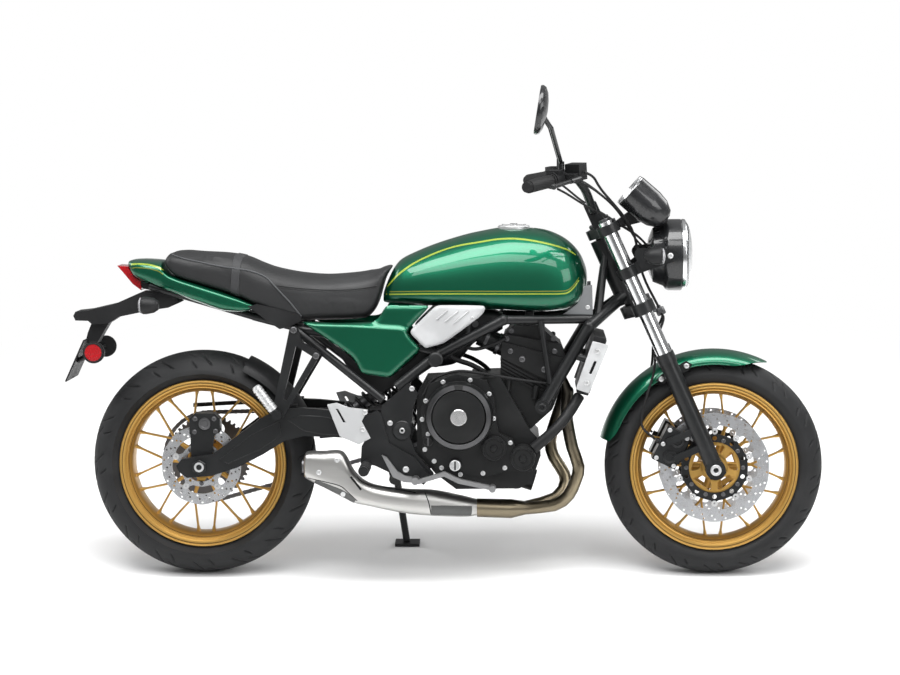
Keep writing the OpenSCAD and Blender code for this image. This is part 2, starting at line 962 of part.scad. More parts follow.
module seat_rails() {
    rr = rail_d / 2;
    lap = 5;
    way_in = lap * unit(seat_rail - seat_joint);
    way_back = lap * unit(tail_rail - seat_rail);
    color("#18191a") {
        both() {
            difference() {
                rod(rail_low, seat_joint + way_in, rr - 1.6);
                rail_bends(fit);
                rod(rail_low, plate_joint, rr + 2 + fit);
            }
            difference() {
                rod(strut_foot, strut_top, rr - 0.6);
                translate([-0.2, 0, 0.25])
                    slab(plate_outline(), plate_in - 20, plate_out + 20);
            }
            rod(seat_joint - way_in, seat_rail + way_in, rr);
            rod(seat_rail - way_back, tail_rail + way_back, rr - 1.2);
            rod(tail_rail, tail_end, rr - 2);
            cross_bar(seat_joint.x, seat_joint.z, seat_joint.y, panel_y - fit, 8);
            cross_bar(262, 684, 84, 112, 9);
            rod([292, 60, 674], [292, 60, 703 - fit], 12);
        }
        cross_bar(292, 679, -94, 94, 9);
        cross_bar(-100, tail_cross_z, -64, 64, 8);
    }
}

// Engine
module crankcase() {
    half = case_width / 2;
    bay = 80;
    color("#232425") {
        slab([[594, 352], [594, 505], [616, 545], [820, 555], [902, 408], [924, 385], [930, 340],
            [905, 268], [870, 250], [700, 248], [644, 290]], -half, bay);
        slab([[702, 300], [702, 500], [740, 552], [820, 555], [902, 408], [924, 385], [930, 340],
            [905, 268], [870, 254], [760, 254]], bay - 1, half);
        cross_bar(862, 272, -66, 54, 32);
        rod([880, 20, 262], [912, 20, 252], 30);
        cross_bar(front_sprocket.x, front_sprocket.z, bay - 1, chain_y + 4,
            chain_front_r - chain_half - 0.5);
    }
}

module cylinder_block() {
    half = block_width / 2;
    color("#2a2b2c") {
        slab([[820.4, 555.4], [822, 606], [986, 524], [962, 462], [902.4, 408.4]], -half + 6, half - 6);
        for (k = [0:3])
            slab([for (p = [[822, 566], [822, 571], [970, 489], [968, 484]]) p + k * [-0.5, 10]],
                -half + 1, half - 1);
        slab([[822, 605], [825, 648], [1000, 600], [992, 560], [986, 523]], -half, half);
        slab([[825, 646], [832, 668], [984, 640], [1000, 598]], -half + 8, half - 8);
        slab([[831, 666], [858, 690], [926, 690], [985, 638]], -half + 20, half - 20);
        for (y = [-45, 45])
            rod([840, y, 622], [762, y, 658], 24);
    }
}

clutch_at = [710, 454];

module engine_covers() {
    half = case_width / 2 + fit;
    r = clutch_d / 2;
    color("#1b1c1d") {
        slab([[606, 470], [630, 540], [700, 566], [785, 548], [804, 502], [810, 440], [818, 404], [856, 386],
            [866, 345], [902, 318], [908, 302], [836, 304], [772, 284], [714, 284], [655, 302], [612, 353]],
            -half - 40, -half);
        translate([clutch_at.x, -half - 40, clutch_at.y])
            side()
                rotate_extrude()
                    polygon([[0, -1], [r + 1, -1], [r - 1, 30], [r - 6, 40], [r - 18, 44], [r - 20, 40],
                        [r - 22, 46], [24, 48], [23, 51], [0, 51]]);
        translate([804, -half - 40, 366])
            side()
                cylinder(h = 14, r = 33);
        translate([699, -half - 40, 320])
            side()
                cylinder(h = 14, r = 16);
        translate([882, -half, 339])
            side()
                cylinder(h = 59, r = 34);
    }
    color("#1b1c1d") {
        translate([770, half, 400])
            rotate([-90, 0, 0])
                rotate_extrude()
                    polygon([[0, 0], [104, 0], [100, 30], [84, 44], [40, 52], [0, 54]]);
        slab([[602, 352], [602, 455], [640, 470], [702 - fit, 470], [702 - fit, 345]], chain_y + 12,
            case_width / 2);
    }
}

// Radiator with its hose, and the covers at its ends
module radiator() {
    hose_y = case_width / 2 + 18.5;
    color("#1f2021") {
        slab([[1076, 668], [1108, 660], [1058, 505], [1026, 513]], -148, 148);
        tube(curve([[1036, -92, 500], [1004, -120, 452], [966, -hose_y + 4, 410],
            [909.4, -hose_y, 360.5]], 5), 15, 12);
    }
}

module radiator_covers() {
    color("#c9ccce")
        both()
            difference() {
                slab([[1070, 654], [1113, 643], [1060, 512], [1024, 524]], 148 + fit, 158);
                slab([[1074, 600], [1081, 598], [1067, 564], [1060, 566]], 140, 170);
            }
}

// Trims on the rails in front of the tank
module nose_trims() {
    color("#6c6e70")
        both()
            slab([[990, 721], [1012, 737], [1030, 751], [1042, 774], [1050, 799], [1070, 801],
                [1072, 720.4]], 86, 93);
}

// Tank
lid_at = [857, 0];
lid_seat = tank_top - 8;
hinge_x = lid_at.x + lid_d / 2 + 9;
hinge_z = lid_seat - 1;
hinge_half = 16;

function tank_rows() = let (w = tank_width / 2, t = tank_top) [
    [501, 0, w - 81, 753, 767, 782, 4, 2.4],
    [515, 0, w - 59, 750, 776, t - 138, 4, 2.4],
    [542, 0, w - 41, 748, 782, t - 94, 4, 2.4],
    [600, 0, w - 25, 745, 787, t - 63, 4, 2.3],
    [680, 0, w - 13, 741, 791, t - 34, 4, 2.2],
    [760, 0, w - 6, 736, 794, t - 13, 4, 2.2],
    [850, 0, w - 1, 730, 796, t, 4, 2.2],
    [930, 0, w, 727, 797, t - 6, 4, 2.2],
    [985, 0, w - 5, 730, 798, t - 25, 4, 2.2],
    [1022, 0, w - 21, 742, 800, t - 53, 3.5, 2.3],
    [1044, 0, w - 51, 758, 803, t - 84, 3, 2.3],
    [1056, 0, w - 97, 784, 810, t - 117, 2.5, 2.3]];

module fuel_tank() {
    color("#0d5a3a") {
        difference() {
            loft(tank_rows(), 3, 28);
            translate([lid_at.x, 0, lid_seat])
                cylinder(h = 60, r = lid_d / 2 + 4);
            translate([lid_at.x, 0, lid_seat - 45])
                cylinder(h = 60, r = filler_d / 2);
            translate([lid_at.x + lid_d / 2 - 6, -hinge_half, hinge_z - 8])
                cube([28, 2 * hinge_half, 60]);
        }
        cross_bar(hinge_x, hinge_z, -hinge_half - 6, hinge_half + 6, 2);
    }
}

module fuel_lid() {
    color("#b7babc")
        difference() {
            union() {
                translate([lid_at.x, 0, lid_seat + fit])
                    rotate_extrude()
                        polygon([[0, 0], [lid_d / 2 - 1, 0], [lid_d / 2, 1], [lid_d / 2, 8],
                            [lid_d / 2 - 3, 11], [lid_d / 2 - 16, 13], [0, 14]]);
                translate([lid_at.x + lid_d / 2 - 8, -hinge_half + 2, lid_seat + fit])
                    cube([hinge_x - lid_at.x - lid_d / 2 + 8, 2 * hinge_half - 4, 4]);
                cross_bar(hinge_x, hinge_z, -hinge_half + 2, hinge_half - 2, 5);
            }
            cross_bar(hinge_x, hinge_z, -hinge_half, hinge_half, 2 + running);
        }
}

// Seat and tail
function seat_rows() = let (w = seat_width / 2) [
    [-98, 0, w - 59, 858, 866, 876, 4, 3],
    [-87, 0, w - 37, 840, 862, 891, 4, 3],
    [-58, 0, w - 25, 816, 850, 893, 5, 3],
    [0, 0, w - 15, 790, 838, 888, 5, 3],
    [70, 0, w - 10, 764, 824, 884, 5, 3],
    [122, 0, w - 7, 744, 806, 875, 5, 3],
    [165, 0, w - 5, 726, 786, 857, 5, 3],
    [205, 0, w - 3, 714, 776, 843, 5, 3],
    [270, 0, w, 704, 768, 830, 5, 3],
    [345, 0, w - 3, 704, 764, 824, 5, 3],
    [420, 0, w - 15, 706, 764, 829, 5, 3],
    [460, 0, w - 25, 712, 770, 835, 5, 3],
    [484, 0, w - 33, 746, 788, 842, 5, 3],
    [503, 0, w - 39, 810, 826, 850, 4, 3],
    [518, 0, w - 49, 838, 845, 853, 4, 3],
    [525, 0, w - 69, 847, 849, 851, 3, 3]];

module seat() {
    color("#232324")
        loft(seat_rows(), 2, 28);
}

function tail_rows() = let (w = tail_width / 2) [
    [-200, 0, w - 54, 850, 858, 866, 3, 3],
    [-185, 0, w - 34, 824, 846, 870, 3, 3],
    [-160, 0, w - 22, 808, 840, 871, 3, 3],
    [-106, 0, w - 12, 788, 830, 866, 4, 3],
    [-102, 0, w - 12, 787, 822, 850, 4, 5],
    [-88, 0, w - 10, 782, 812, 833, 4, 6],
    [-60, 0, w - 7, 774, 794, 810, 4, 6],
    [0, 0, w - 2, 752, 772, 786, 4, 6],
    [70, 0, w, 728, 746, 760, 4, 6],
    [108, 0, w - 2, 727, 737, 743, 4, 6],
    [132, 0, w - 8, 727, 729, 732, 4, 6]];

module tail_cowl() {
    color("#0d5a3a")
        difference() {
            loft(tail_rows(), 1, 20);
            translate([tail_rail.x, 0, tail_rail.z])
                rotate([0, atan2(tail_end.z - tail_rail.z, tail_rail.x - tail_end.x), 0])
                    translate([-308, -76, -120])
                        cube([420, 152, 120 + rail_d / 2 - 2 + fit]);
        }
}

module rear_lamps() {
    color("#a01218") {
        slab([[-233, 854], [-200.6, 852], [-200.6, 849], [-185.6, 822.6], [-167, 811], [-166, 785],
            [-190, 803], [-217, 836]], -40, 40);
        both()
            translate([reflector_at.x, reflector_y + fit, reflector_at.y])
                rotate([-90, 0, 0])
                    cylinder(h = 5, r = 27);
    }
}

// Plate holder: a tongue under the tail, a stem, the plate's back plate and the reflector dishes
reflector_at = [-290, 620];
reflector_y = 104;

module plate_holder() {
    tongue_z = tail_cross_z - 8 - fit;
    color("#1a1a1b") {
        difference() {
            union() {
                slab([[-60, 752], [-86, tongue_z], [-114, tongue_z], [-166, 781], [-243, 747], [-312, 731],
                    [-349, 727], [-355, 716], [-349, 703], [-314, 702], [-303, 692], [-257, 695],
                    [-229, 713], [-146, 730], [-92, 738]], -44, 44);
                slab([[-306, 697], [-258, 697], [-292, 640], [-325, 640], [-318, 668]], -30, 30);
                translate([plate_bottom.x, 0, plate_bottom.y])
                    rotate([0, plate_lean, 0])
                        translate([0, -92, 0])
                            cube([4, 184, 124]);
            }
            for (way = [-1, 1])
                translate([plate_bottom.x, way * plate_hole_spacing / 2, plate_bottom.y])
                    rotate([0, plate_lean, 0])
                        translate([-2, 0, 100])
                            rotate([0, 90, 0])
                                cylinder(h = 10, r = plate_hole_d / 2);
        }
        both() {
            rod([plate_bottom.x + 31.3, 60, plate_bottom.y + 53.9],
                [reflector_at.x, reflector_y - 7, reflector_at.y], 7);
            translate([reflector_at.x, reflector_y - 10, reflector_at.y])
                rotate([-90, 0, 0])
                    cylinder(h = 10, r = 30);
        }
    }
}

module rear_indicators() {
    color("#202122")
        both()
            translate([-133, 0, 752])
                mirror([1, 0, 0])
                    signal(44 + fit);
}

// Side panels
module side_covers() {
    color("#0d5a3a")
        both()
            slab([[280, 706], [382, 702], [476, 704], [493, 716], [512, 750], [632, 748], [566, 677],
                [608, 631], [523, 552], [444, 564], [425, 604], [395, 628]], panel_y, panel_y + 16);
}

module duct_covers() {
    color("#c9ccce")
        both()
            difference() {
                slab([[648, 750], [776, 749], [782, 740], [770, 722], [714, 680], [668, 647], [630, 637],
                    [618, 634], [574, 678]], duct_y, duct_y + 18);
                for (k = [0:3])
                    slab([for (p = [[648, 734], [658, 734], [672, 704], [662, 704]]) p + [24 * k, 0]],
                        duct_y + 13, duct_y + 30);
            }
}

// Swingarm: two sides joined by the pivot tube and a bridge, drawn from the pivot to the rear axle
arm_way = unit([rear_axle_at.x - pivot.x, rear_axle_at.z - pivot.z]);
function arm_point(t, h) = [pivot.x, pivot.z] + t * arm_length * arm_way + h * [arm_way.y, -arm_way.x];

bridge_x = rear_x + rear_radius + 18;

module swingarm() {
    outline = [for (p = [[1.111, 14], [1.08, 29], [1, 28], [0.925, 27], [0.67, 99], [0.59, 112], [0.52, 115],
        [0.405, 100], [0.05, 42], [-0.03, 32], [-0.06, 0], [-0.03, -32], [0.317, 12], [0.478, 31],
        [0.567, 28], [0.69, 1], [0.82, -21], [0.95, -31], [1.072, -24], [1.104, -4]])
        arm_point(p.x, p.y)];
    color("#1f2021")
        difference() {
            union() {
                for (way = [0, 1])
                    mirror([0, way, 0])
                        slab(outline, arm_in, arm_out);
                cross_bar(pivot.x, pivot.z, -arm_in - 2, arm_in + 2, 24);
                slab([[bridge_x, 384], [bridge_x, 418], [bridge_x + 70, 424], [bridge_x + 70, 390]],
                    -arm_in - 2, arm_in + 2);
            }
            cross_bar(pivot.x, pivot.z, -arm_out - 2, arm_out + 2, 10 + running);
            cross_bar(rear_axle_at.x, rear_axle_at.z, -arm_out - 2, arm_out + 2, axle_r + 0.1);
        }
}

module rear_axle() {
    color("#c9ccce")
        at_rear()
            side()
                difference() {
                    union() {
                        cylinder(h = 2 * arm_out + 16, r = axle_r, center = true);
                        for (way = [-1, 1])
                            translate([0, 0, way * (arm_out + 5)])
                                cylinder(h = 10 - 2 * fit, r = axle_r + 5, center = true);
                        translate([0, 0, rear_hub_right + fit])
                            cylinder(h = 96 - rear_hub_right - 2 * fit, r = axle_r + 6);
                        translate([0, 0, -arm_in + fit])
                            cylinder(h = arm_in - rear_hub_left - 2 * fit, r = axle_r + 6);
                    }
                    cylinder(h = 400, r = axle_bore_r, center = true);
                }
}

module rear_caliper() {
    slot = disc_t / 2 + 5;
    disc_r = rear_disc_d / 2;
    color("#202122")
        at_rear()
            mirror([0, 1, 0])
                difference() {
                    union() {
                        slab([[-30, 86], [-30, 128], [-14, 144], [38, 144], [54, 128], [54, 92], [40, 84]],
                            rear_disc_y - 26, arm_in - fit);
                        slab([[-24, -14], [-28, 90], [40, 90], [24, -14], [0, -24]], arm_in - 7,
                            arm_in - fit);
                    }
                    translate([0, rear_disc_y + slot, 0])
                        side()
                            cylinder(h = 2 * slot, r = disc_r + 5);
                    translate([0, arm_in + 10, 0])
                        side()
                            cylinder(h = 30, r = axle_r + 0.2);
                }
}

// Mudguard on the swingarm, with the chain's guard
module rear_hugger() {
    half = 84;
    edge = rear_radius - 29;
    color("#1a1a1b") {
        at_rear() {
            arch(edge, half, 40, 3, 24, 66);
            slab([[-44, 140], [-44, 150], [60, 156], [236, 162], [240, 152], [60, 146]],
                chain_y - 6.5, chain_y + 10);
        }
        both()
            at_rear()
                slab([[228, 162.4], [228, 168], [266, 168], [266, 162.4]], half - 6, arm_in + 14);
    }
}

// Exhaust
// Exhaust ports in the front of the head, and the elbows from them to the pipes
port_at = [989, 541.5];
port_lean = atan2(6, 37);

module elbow(start, lean) {
    hull() {
        translate([port_at.x, start.y, port_at.y])
            rotate([0, 90 + port_lean, 0])
                translate([0, 0, fit])
                    cylinder(h = 4, r = header_d / 2, $fn = 16);
        translate(start)
            rotate([0, lean, 0])
                translate([0, 0, -6])
                    cylinder(h = 6, r = header_d / 2 - 0.4, $fn = 16);
    }
}

module exhaust_headers() {
    r = header_d / 2;
    pipe_end = 886;
    color("#8d7c62") {
        elbow([1004, -58, 508], 2.8);
        elbow([999, 58, 494], 19.2);
        pipe(curve([[1004, -58, 508], [1001, -58, 446], [1006, -58, 404], [1017, -58, 352], [1034, -58, 300],
            [1026, -57, 262], [1006, -52, 220], [968, -44, 192], [pipe_end, -34, 181]], 2), r, 16);
        pipe(curve([[999, 58, 494], [969, 58, 405], [957, 58, 356], [966, 57, 314], [987, 54, 281],
            [1000, 46, 246], [972, 24, 202], [pipe_end, -10, 181]], 2), r, 16);
        hull() {
            translate([pipe_end, -34, 181])
                sphere(r, $fn = 16);
            translate([pipe_end, -10, 181])
                sphere(r, $fn = 16);
            translate([848, -38, 181])
                rotate([0, 90, 0])
                    cylinder(h = 1, r = 1.55 * r, $fn = 24);
        }
        hull() {
            translate([848, -38, 181])
                rotate([0, 90, 0])
                    cylinder(h = 1, r = 1.55 * r, $fn = 24);
            translate([755 + fit, -60, 187])
                rotate([0, 90, 0])
                    cylinder(h = 1, r = 1.5 * r, $fn = 24);
        }
    }
}

module muffler() {
    w = muffler_width / 2;
    color("#b9babb")
        loft([[290, -132, w - 8, 284, 314, 344, 4, 4], [298, -132, w - 2, 277, 314, 351, 4, 4],
            [340, -132, w, 256, 304, 352, 4, 4], [392, -132, w, 228, 288, 350, 4, 4],
            [424, -131, w, 213, 258, 296, 4, 4], [470, -127, w, 203, 234, 262, 4, 3],
            [560, -115, w + 2, 182, 214, 246, 3, 3], [640, -97, w + 2, 172, 206, 240, 3, 3],
            [720, -74, w, 166, 194, 220, 3, 3], [755, -64, w - 8, 168, 190, 210, 3, 3]], 2, 24);
}

// Footrests and foot controls
passenger_pivot = [216, 455];
passenger_y = 136;

module footrests() {
    color("#1c1d1e")
        both() {
            slab([[486, 466], [440, 442], [456, 388], [445, 369], [442, 322], [480, 316], [559, 279],
                [640, 276], [590, 338], [520, 378], [498, 458]], plate_out + fit, plate_out + 9);
            cross_bar(footrest_at.x, footrest_at.y, plate_out + 6, footrest_reach, footrest_r);
            difference() {
                slab([[252, 692], [272, 692], [284, 652], [334, 622], [326, 604], [232, 446], [212, 438],
                    [200, 452]], passenger_y - 8, passenger_y + 8);
                slab([[268, 640], [312, 612], [240, 490], [232, 496]], passenger_y - 20, passenger_y + 20);
            }
            cross_bar(262, 683, 112 + fit, passenger_y, 9);
            cross_bar(passenger_pivot.x, passenger_pivot.y, passenger_y, passenger_y + 36, 13);
            rod([passenger_pivot.x, passenger_y + 24, passenger_pivot.y], [160, passenger_y + 24, 530], 11);
        }
}

module heel_guards() {
    color("#c9ccce")
        both()
            difference() {
                slab([[352, 483], [378, 488], [413, 475], [464, 469], [446, 437], [470, 391], [438, 374],
                    [386, 396]], plate_out + 9 + fit, plate_out + 13);
                slab([[376, 471], [382, 471], [402, 434], [396, 434]], plate_out, plate_out + 20);
            }
}

module foot_controls() {
    y0 = plate_out + 9 + fit;
    color("#c3c6c8") {
        slab([[500, 346], [514, 340], [542, 302], [562, 290], [600, 284], [604, 270], [560, 272],
            [530, 286]], -y0 - 10, -y0);
        slab([[598, 284], [672, 306], [712, 286], [796, 268], [796, 256], [708, 274], [670, 293],
            [600, 272]], -y0 - 50, -y0 - 32);
        cross_bar(800, 262, -y0 - 74, -y0 - 32, 9);
        cross_bar(592, 280, -y0 - 50, -y0, 10);
    }
    color("#c3c6c8") {
        slab([[584, 290], [604, 292], [700, 282], [796, 268], [796, 256], [700, 268], [604, 272],
            [584, 270]], y0 + 40, y0 + 50);
        cross_bar(592, 281, y0, y0 + 50, 10);
        cross_bar(800, 262, y0 + 40, y0 + 84, 9);
    }
}

// Rear shock between the swingarm's bridge and the frame's cross tube
module rear_shock() {
    low = [bridge_x + 51, -38, 434.3];
    high = [590, -38, 568];
    run = norm(high - low);
    turns = 8;
    color("#6d6f72")
        translate(low)
            rotate([0, acos((high.z - low.z) / run), 0])
                rotate_extrude()
                    polygon(concat([[0, 2], [14, 2], [14, 30]],
                        [for (i = [0:turns * 4]) [i % 4 < 2 ? 28 : 22, 32 + (run - 70) * i / turns / 4]],
                        [[16, run - 36], [16, run - 10 - fit], [0, run - 10 - fit]]));
}

// Side stand
module side_stand() {
    forward = 7;
    down = [0, sin(stand_tilt), -cos(stand_tilt)];
    way = cos(forward) * down + [sin(forward), 0, 0];
    drop = (stand_pivot.z - road(stand_pivot.y)) / (tan(lean) * way.y - way.z);
    foot = stand_pivot + drop * way;
    top = stand_pivot + 11 * [0, cos(stand_tilt), sin(stand_tilt)];
    color("#202122")
        difference() {
            union() {
                on_stand_pivot()
                    translate([0, 0, 0.6 - 2])
                        cylinder(h = 16, r = 16);
                rod(top, foot - 4 * way, 10);
                translate(foot)
                    rotate([lean, 0, 0])
                        translate([-34, -24, 0])
                            cube([70, 46, 9]);
            }
            on_stand_pivot()
                translate([0, 0, -30])
                    cylinder(h = 60, r = 6 + running);
        }
}

parked() front_tyre();
parked() front_wheel_rim();
parked() front_discs();
parked() rear_tyre();
parked() rear_wheel_rim();
parked() rear_disc();
parked() rear_sprocket();
parked() fork_tubes();
parked() fork_legs();
parked() upper_clamp();
parked() lower_clamp();
parked() handlebar();
parked() grips();
parked() bar_controls();
parked() levers();
parked() mirrors();
parked() mirror_glasses();
parked() headlamp_shell();
parked() headlamp_lens();
parked() headlamp_bracket();
parked() front_indicators();
parked() meter_pods();
parked() front_mudguard();
parked() front_calipers();
parked() front_axle_bar();  // front_axle
parked() brake_hoses();
parked() frame();
parked() pivot_plates();
parked() seat_rails();
parked() crankcase();
parked() cylinder_block();
parked() engine_covers();
parked() radiator();
parked() radiator_covers();
parked() nose_trims();
parked() fuel_tank();
parked() fuel_lid();
parked() seat();
parked() side_covers();
parked() duct_covers();
parked() tail_cowl();
parked() rear_lamps();
parked() plate_holder();
parked() rear_indicators();
parked() swingarm();
parked() rear_axle();
parked() rear_caliper();
parked() drive_chain();
parked() rear_hugger();
parked() exhaust_headers();
parked() muffler();
parked() footrests();
parked() heel_guards();
parked() foot_controls();
parked() rear_shock();
parked() side_stand();
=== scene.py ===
"""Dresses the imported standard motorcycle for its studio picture.

Every mesh is drawn upright in millimetres, X forward and Y to the rider's left, as the solids are, and
is then parked: leaned on the side stand, centred and turned into metres.
"""

from __future__ import annotations

import logging
from dataclasses import dataclass
from enum import Enum
from math import asin, atan2, copysign, cos, pi, radians, sin
from typing import Any, Optional, Sequence, Union

import bmesh
import bpy
import numpy as np
from mathutils import Matrix, Vector
from mathutils.bvhtree import BVHTree
from mathutils.geometry import delaunay_2d_cdt

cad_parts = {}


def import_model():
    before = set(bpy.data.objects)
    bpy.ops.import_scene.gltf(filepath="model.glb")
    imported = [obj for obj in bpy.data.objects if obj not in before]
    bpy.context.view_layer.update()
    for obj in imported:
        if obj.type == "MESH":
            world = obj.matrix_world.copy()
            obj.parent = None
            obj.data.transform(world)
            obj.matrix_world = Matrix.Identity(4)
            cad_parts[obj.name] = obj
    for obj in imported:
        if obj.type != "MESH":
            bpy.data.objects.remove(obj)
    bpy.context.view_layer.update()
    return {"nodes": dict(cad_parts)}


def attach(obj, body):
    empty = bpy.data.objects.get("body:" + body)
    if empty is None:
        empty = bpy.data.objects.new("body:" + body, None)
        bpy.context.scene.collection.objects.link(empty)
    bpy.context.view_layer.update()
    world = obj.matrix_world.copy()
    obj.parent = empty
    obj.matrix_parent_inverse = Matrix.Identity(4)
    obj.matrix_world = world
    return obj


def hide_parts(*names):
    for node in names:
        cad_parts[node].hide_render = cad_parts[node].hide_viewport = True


LOG = logging.getLogger("motorcycle")

Colour = tuple[float, float, float]
Flat = tuple[float, float]
Place = tuple[float, float, float]
Line = tuple[Flat, ...]

LEAN = radians(9.0)
MIDDLE = Vector((0.666, 0.186590275, -0.000984933))
PARKED = Matrix.Translation(-MIDDLE) @ Matrix.Rotation(-LEAN, 4, "X") @ Matrix.Scale(0.001, 4)
RAKE = radians(24.0)
FRONT_AXLE = (1405.0, 0.0, 299.0)
REAR_AXLE = (0.0, 0.0, 309.0)
LEFT, RIGHT = 1.0, -1.0
SIDES = (LEFT, RIGHT)
UP = (0.0, 0.0, 1.0)
ACROSS = (0.0, 1.0, 0.0)
TO_RIGHT = (0.0, -1.0, 0.0)
FORK_UP = Vector((-sin(RAKE), 0.0, cos(RAKE)))
CREASE = 38.0
PLATE_CREASE = 30.0
FAR_OUT = 600.0


class Body(Enum):
    """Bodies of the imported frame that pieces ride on."""

    CHASSIS = "chassis"
    STEERING = "steering"
    FRONT_WHEEL = "front_wheel"
    REAR_WHEEL = "rear_wheel"
    FUEL_LID = "fuel_lid"


def fork_point(ahead: float, across: float, up: float) -> Place:
    """Finds a place given along the fork.

    Args:
        ahead: distance in front of the fork tubes.
        across: distance to the left of the middle.
        up: distance up the fork from the front axle.

    Returns:
        The place, upright in millimetres.
    """
    return (
        FRONT_AXLE[0] + ahead * cos(RAKE) - up * sin(RAKE),
        across,
        FRONT_AXLE[2] + ahead * sin(RAKE) + up * cos(RAKE),
    )


def box(x0: float, z0: float, x1: float, z1: float) -> list[Flat]:
    """Gives the outline of a box between two corners."""
    return [(x0, z0), (x1, z0), (x1, z1), (x0, z1)]


def circle(radius: float, count: int, centre: Flat = (0.0, 0.0), start: float = 0.0) -> list[Flat]:
    """Gives points evenly round a circle, from a start angle in degrees."""
    turns = [radians(start) + 2.0 * pi * k / count for k in range(count)]
    return [(centre[0] + radius * cos(t), centre[1] + radius * sin(t)) for t in turns]


class Value:
    """A shader socket that takes part in Python expressions."""

    def __init__(self, graph: Graph, socket: Optional[bpy.types.NodeSocket]) -> None:
        """Keeps the graph that new nodes go into, and the socket."""
        self.graph = graph
        self.socket = socket

    def sum_of(self, operation: str, first: Any, second: Any = None) -> Value:
        """Adds one Math node.

        Args:
            operation: name of the Math node's operation.
            first: its first value or link.
            second: its second value or link, if it takes one.

        Returns:
            The node's result.
        """
        values = {0: first} if second is None else {0: first, 1: second}
        return self.graph.node("ShaderNodeMath", {"operation": operation}, values)

    def __add__(self, other: Any) -> Value:
        """Adds."""
        return self.sum_of("ADD", self, other)

    __radd__ = __add__

    def __sub__(self, other: Any) -> Value:
        """Subtracts."""
        return self.sum_of("SUBTRACT", self, other)

    def __rsub__(self, other: Any) -> Value:
        """Subtracts this from a number."""
        return self.sum_of("SUBTRACT", other, self)

    def __mul__(self, other: Any) -> Value:
        """Multiplies."""
        return self.sum_of("MULTIPLY", self, other)

    __rmul__ = __mul__

    def sine(self) -> Value:
        """Gives the sine."""
        return self.sum_of("SINE", self)

    def ramp(self, low: float, high: float) -> Value:
        """Runs smoothly from 0 at low to 1 at high."""
        limits = {"Value": self, "From Min": low, "From Max": high}
        return self.graph.node("ShaderNodeMapRange", {"interpolation_type": "SMOOTHSTEP"}, limits)


class Graph:
    """The nodes of one material or world."""

    def __init__(self, owner: Union[bpy.types.Material, bpy.types.World]) -> None:
        """Clears the owner's nodes.

        Args:
            owner: the material or world.
        """
        self.owner = owner
        owner.use_nodes = True
        self.tree = owner.node_tree
        self.tree.nodes.clear()

    def node(
        self,
        kind: str,
        settings: Optional[dict[str, Any]] = None,
        values: Optional[dict[Union[int, str], Any]] = None,
        output: Union[int, str] = 0,
    ) -> Value:
        """Adds a node.

        Args:
            kind: the node's type.
            settings: its properties, and stops for a colour ramp.
            values: values or links of its sockets, by name or number.
            output: the output to return.

        Returns:
            The chosen output.
        """
        made = self.tree.nodes.new(kind)
        for key, value in (settings or {}).items():
            if key == "stops":
                elements = made.color_ramp.elements
                while len(elements) < len(value):
                    elements.new(1.0)
                for element, (position, colour) in zip(elements, value):
                    element.position = position
                    element.color = (*colour, 1.0)
            else:
                setattr(made, key, value)
        for key, value in (values or {}).items():
            socket = made.inputs[key]
            if isinstance(value, Value):
                self.tree.links.new(value.socket, socket)
            elif socket.type == "RGBA" and len(value) == 3:
                socket.default_value = (*value, 1.0)
            else:
                socket.default_value = value
        return Value(self, made.outputs[output] if made.outputs else None)

    def vector(self, operation: str, first: Any, second: Any = None, output: Union[int, str] = 0) -> Value:
        """Adds one Vector Math node, as sum_of adds a Math node."""
        values = {0: first} if second is None else {0: first, 1: second}
        return self.node("ShaderNodeVectorMath", {"operation": operation}, values, output)

    def rays(self) -> list[Value]:
        """Tells the rays straight from the camera, and those that came through a lens."""
        kinds = ("Is Camera Ray", "Is Transmission Ray")
        return [self.node("ShaderNodeLightPath", output=kind) for kind in kinds]

    def place(self) -> Value:
        """Gives the place on the piece, parked in metres."""
        return self.node("ShaderNodeTexCoord", output="Object")

    def axis(self, number: int) -> Value:
        """Gives one coordinate of the place on the piece: 0, 1 or 2 for x, y or z."""
        return self.node("ShaderNodeSeparateXYZ", None, {0: self.place()}, number)

    def noise(self, scale: float, detail: float = 3.0, stretch: Place = (1.0, 1.0, 1.0)) -> Value:
        """Gives even noise.

        Args:
            scale: cells in a metre.
            detail: octaves.
            stretch: how much closer the cells are along each axis.

        Returns:
            A value about 0.5.
        """
        where = self.place()
        if stretch != (1.0, 1.0, 1.0):
            where = self.vector("MULTIPLY", where, stretch)
        return self.node("ShaderNodeTexNoise", None, {"Vector": where, "Scale": scale, "Detail": detail})

    def cells(self, scale: float, feature: str = "F1") -> Value:
        """Gives the distances in a field of cells, with as many in a metre as scale says."""
        values = {"Vector": self.place(), "Scale": scale}
        return self.node("ShaderNodeTexVoronoi", {"feature": feature}, values)

    def mix(self, share: Any, first: Any, second: Any) -> Value:
        """Mixes two colours by a share of the second."""
        return self.node("ShaderNodeMix", {"data_type": "RGBA"}, {0: share, 6: first, 7: second}, 2)

    def bump(self, height: Value, strength: float, depth: float) -> Value:
        """Turns a height into a normal, with its depth in metres."""
        return self.node("ShaderNodeBump", None, {"Strength": strength, "Distance": depth, "Height": height})

    def surface(self, **values: Any) -> None:
        """Ends the graph in a Principled surface, with underscores for spaces in socket names.

        Args:
            values: values or links of its sockets.
        """
        sockets = {key.replace("_", " "): value for key, value in values.items()}
        shader = self.node("ShaderNodeBsdfPrincipled", None, sockets)
        self.node("ShaderNodeOutputMaterial", None, {"Surface": shader})


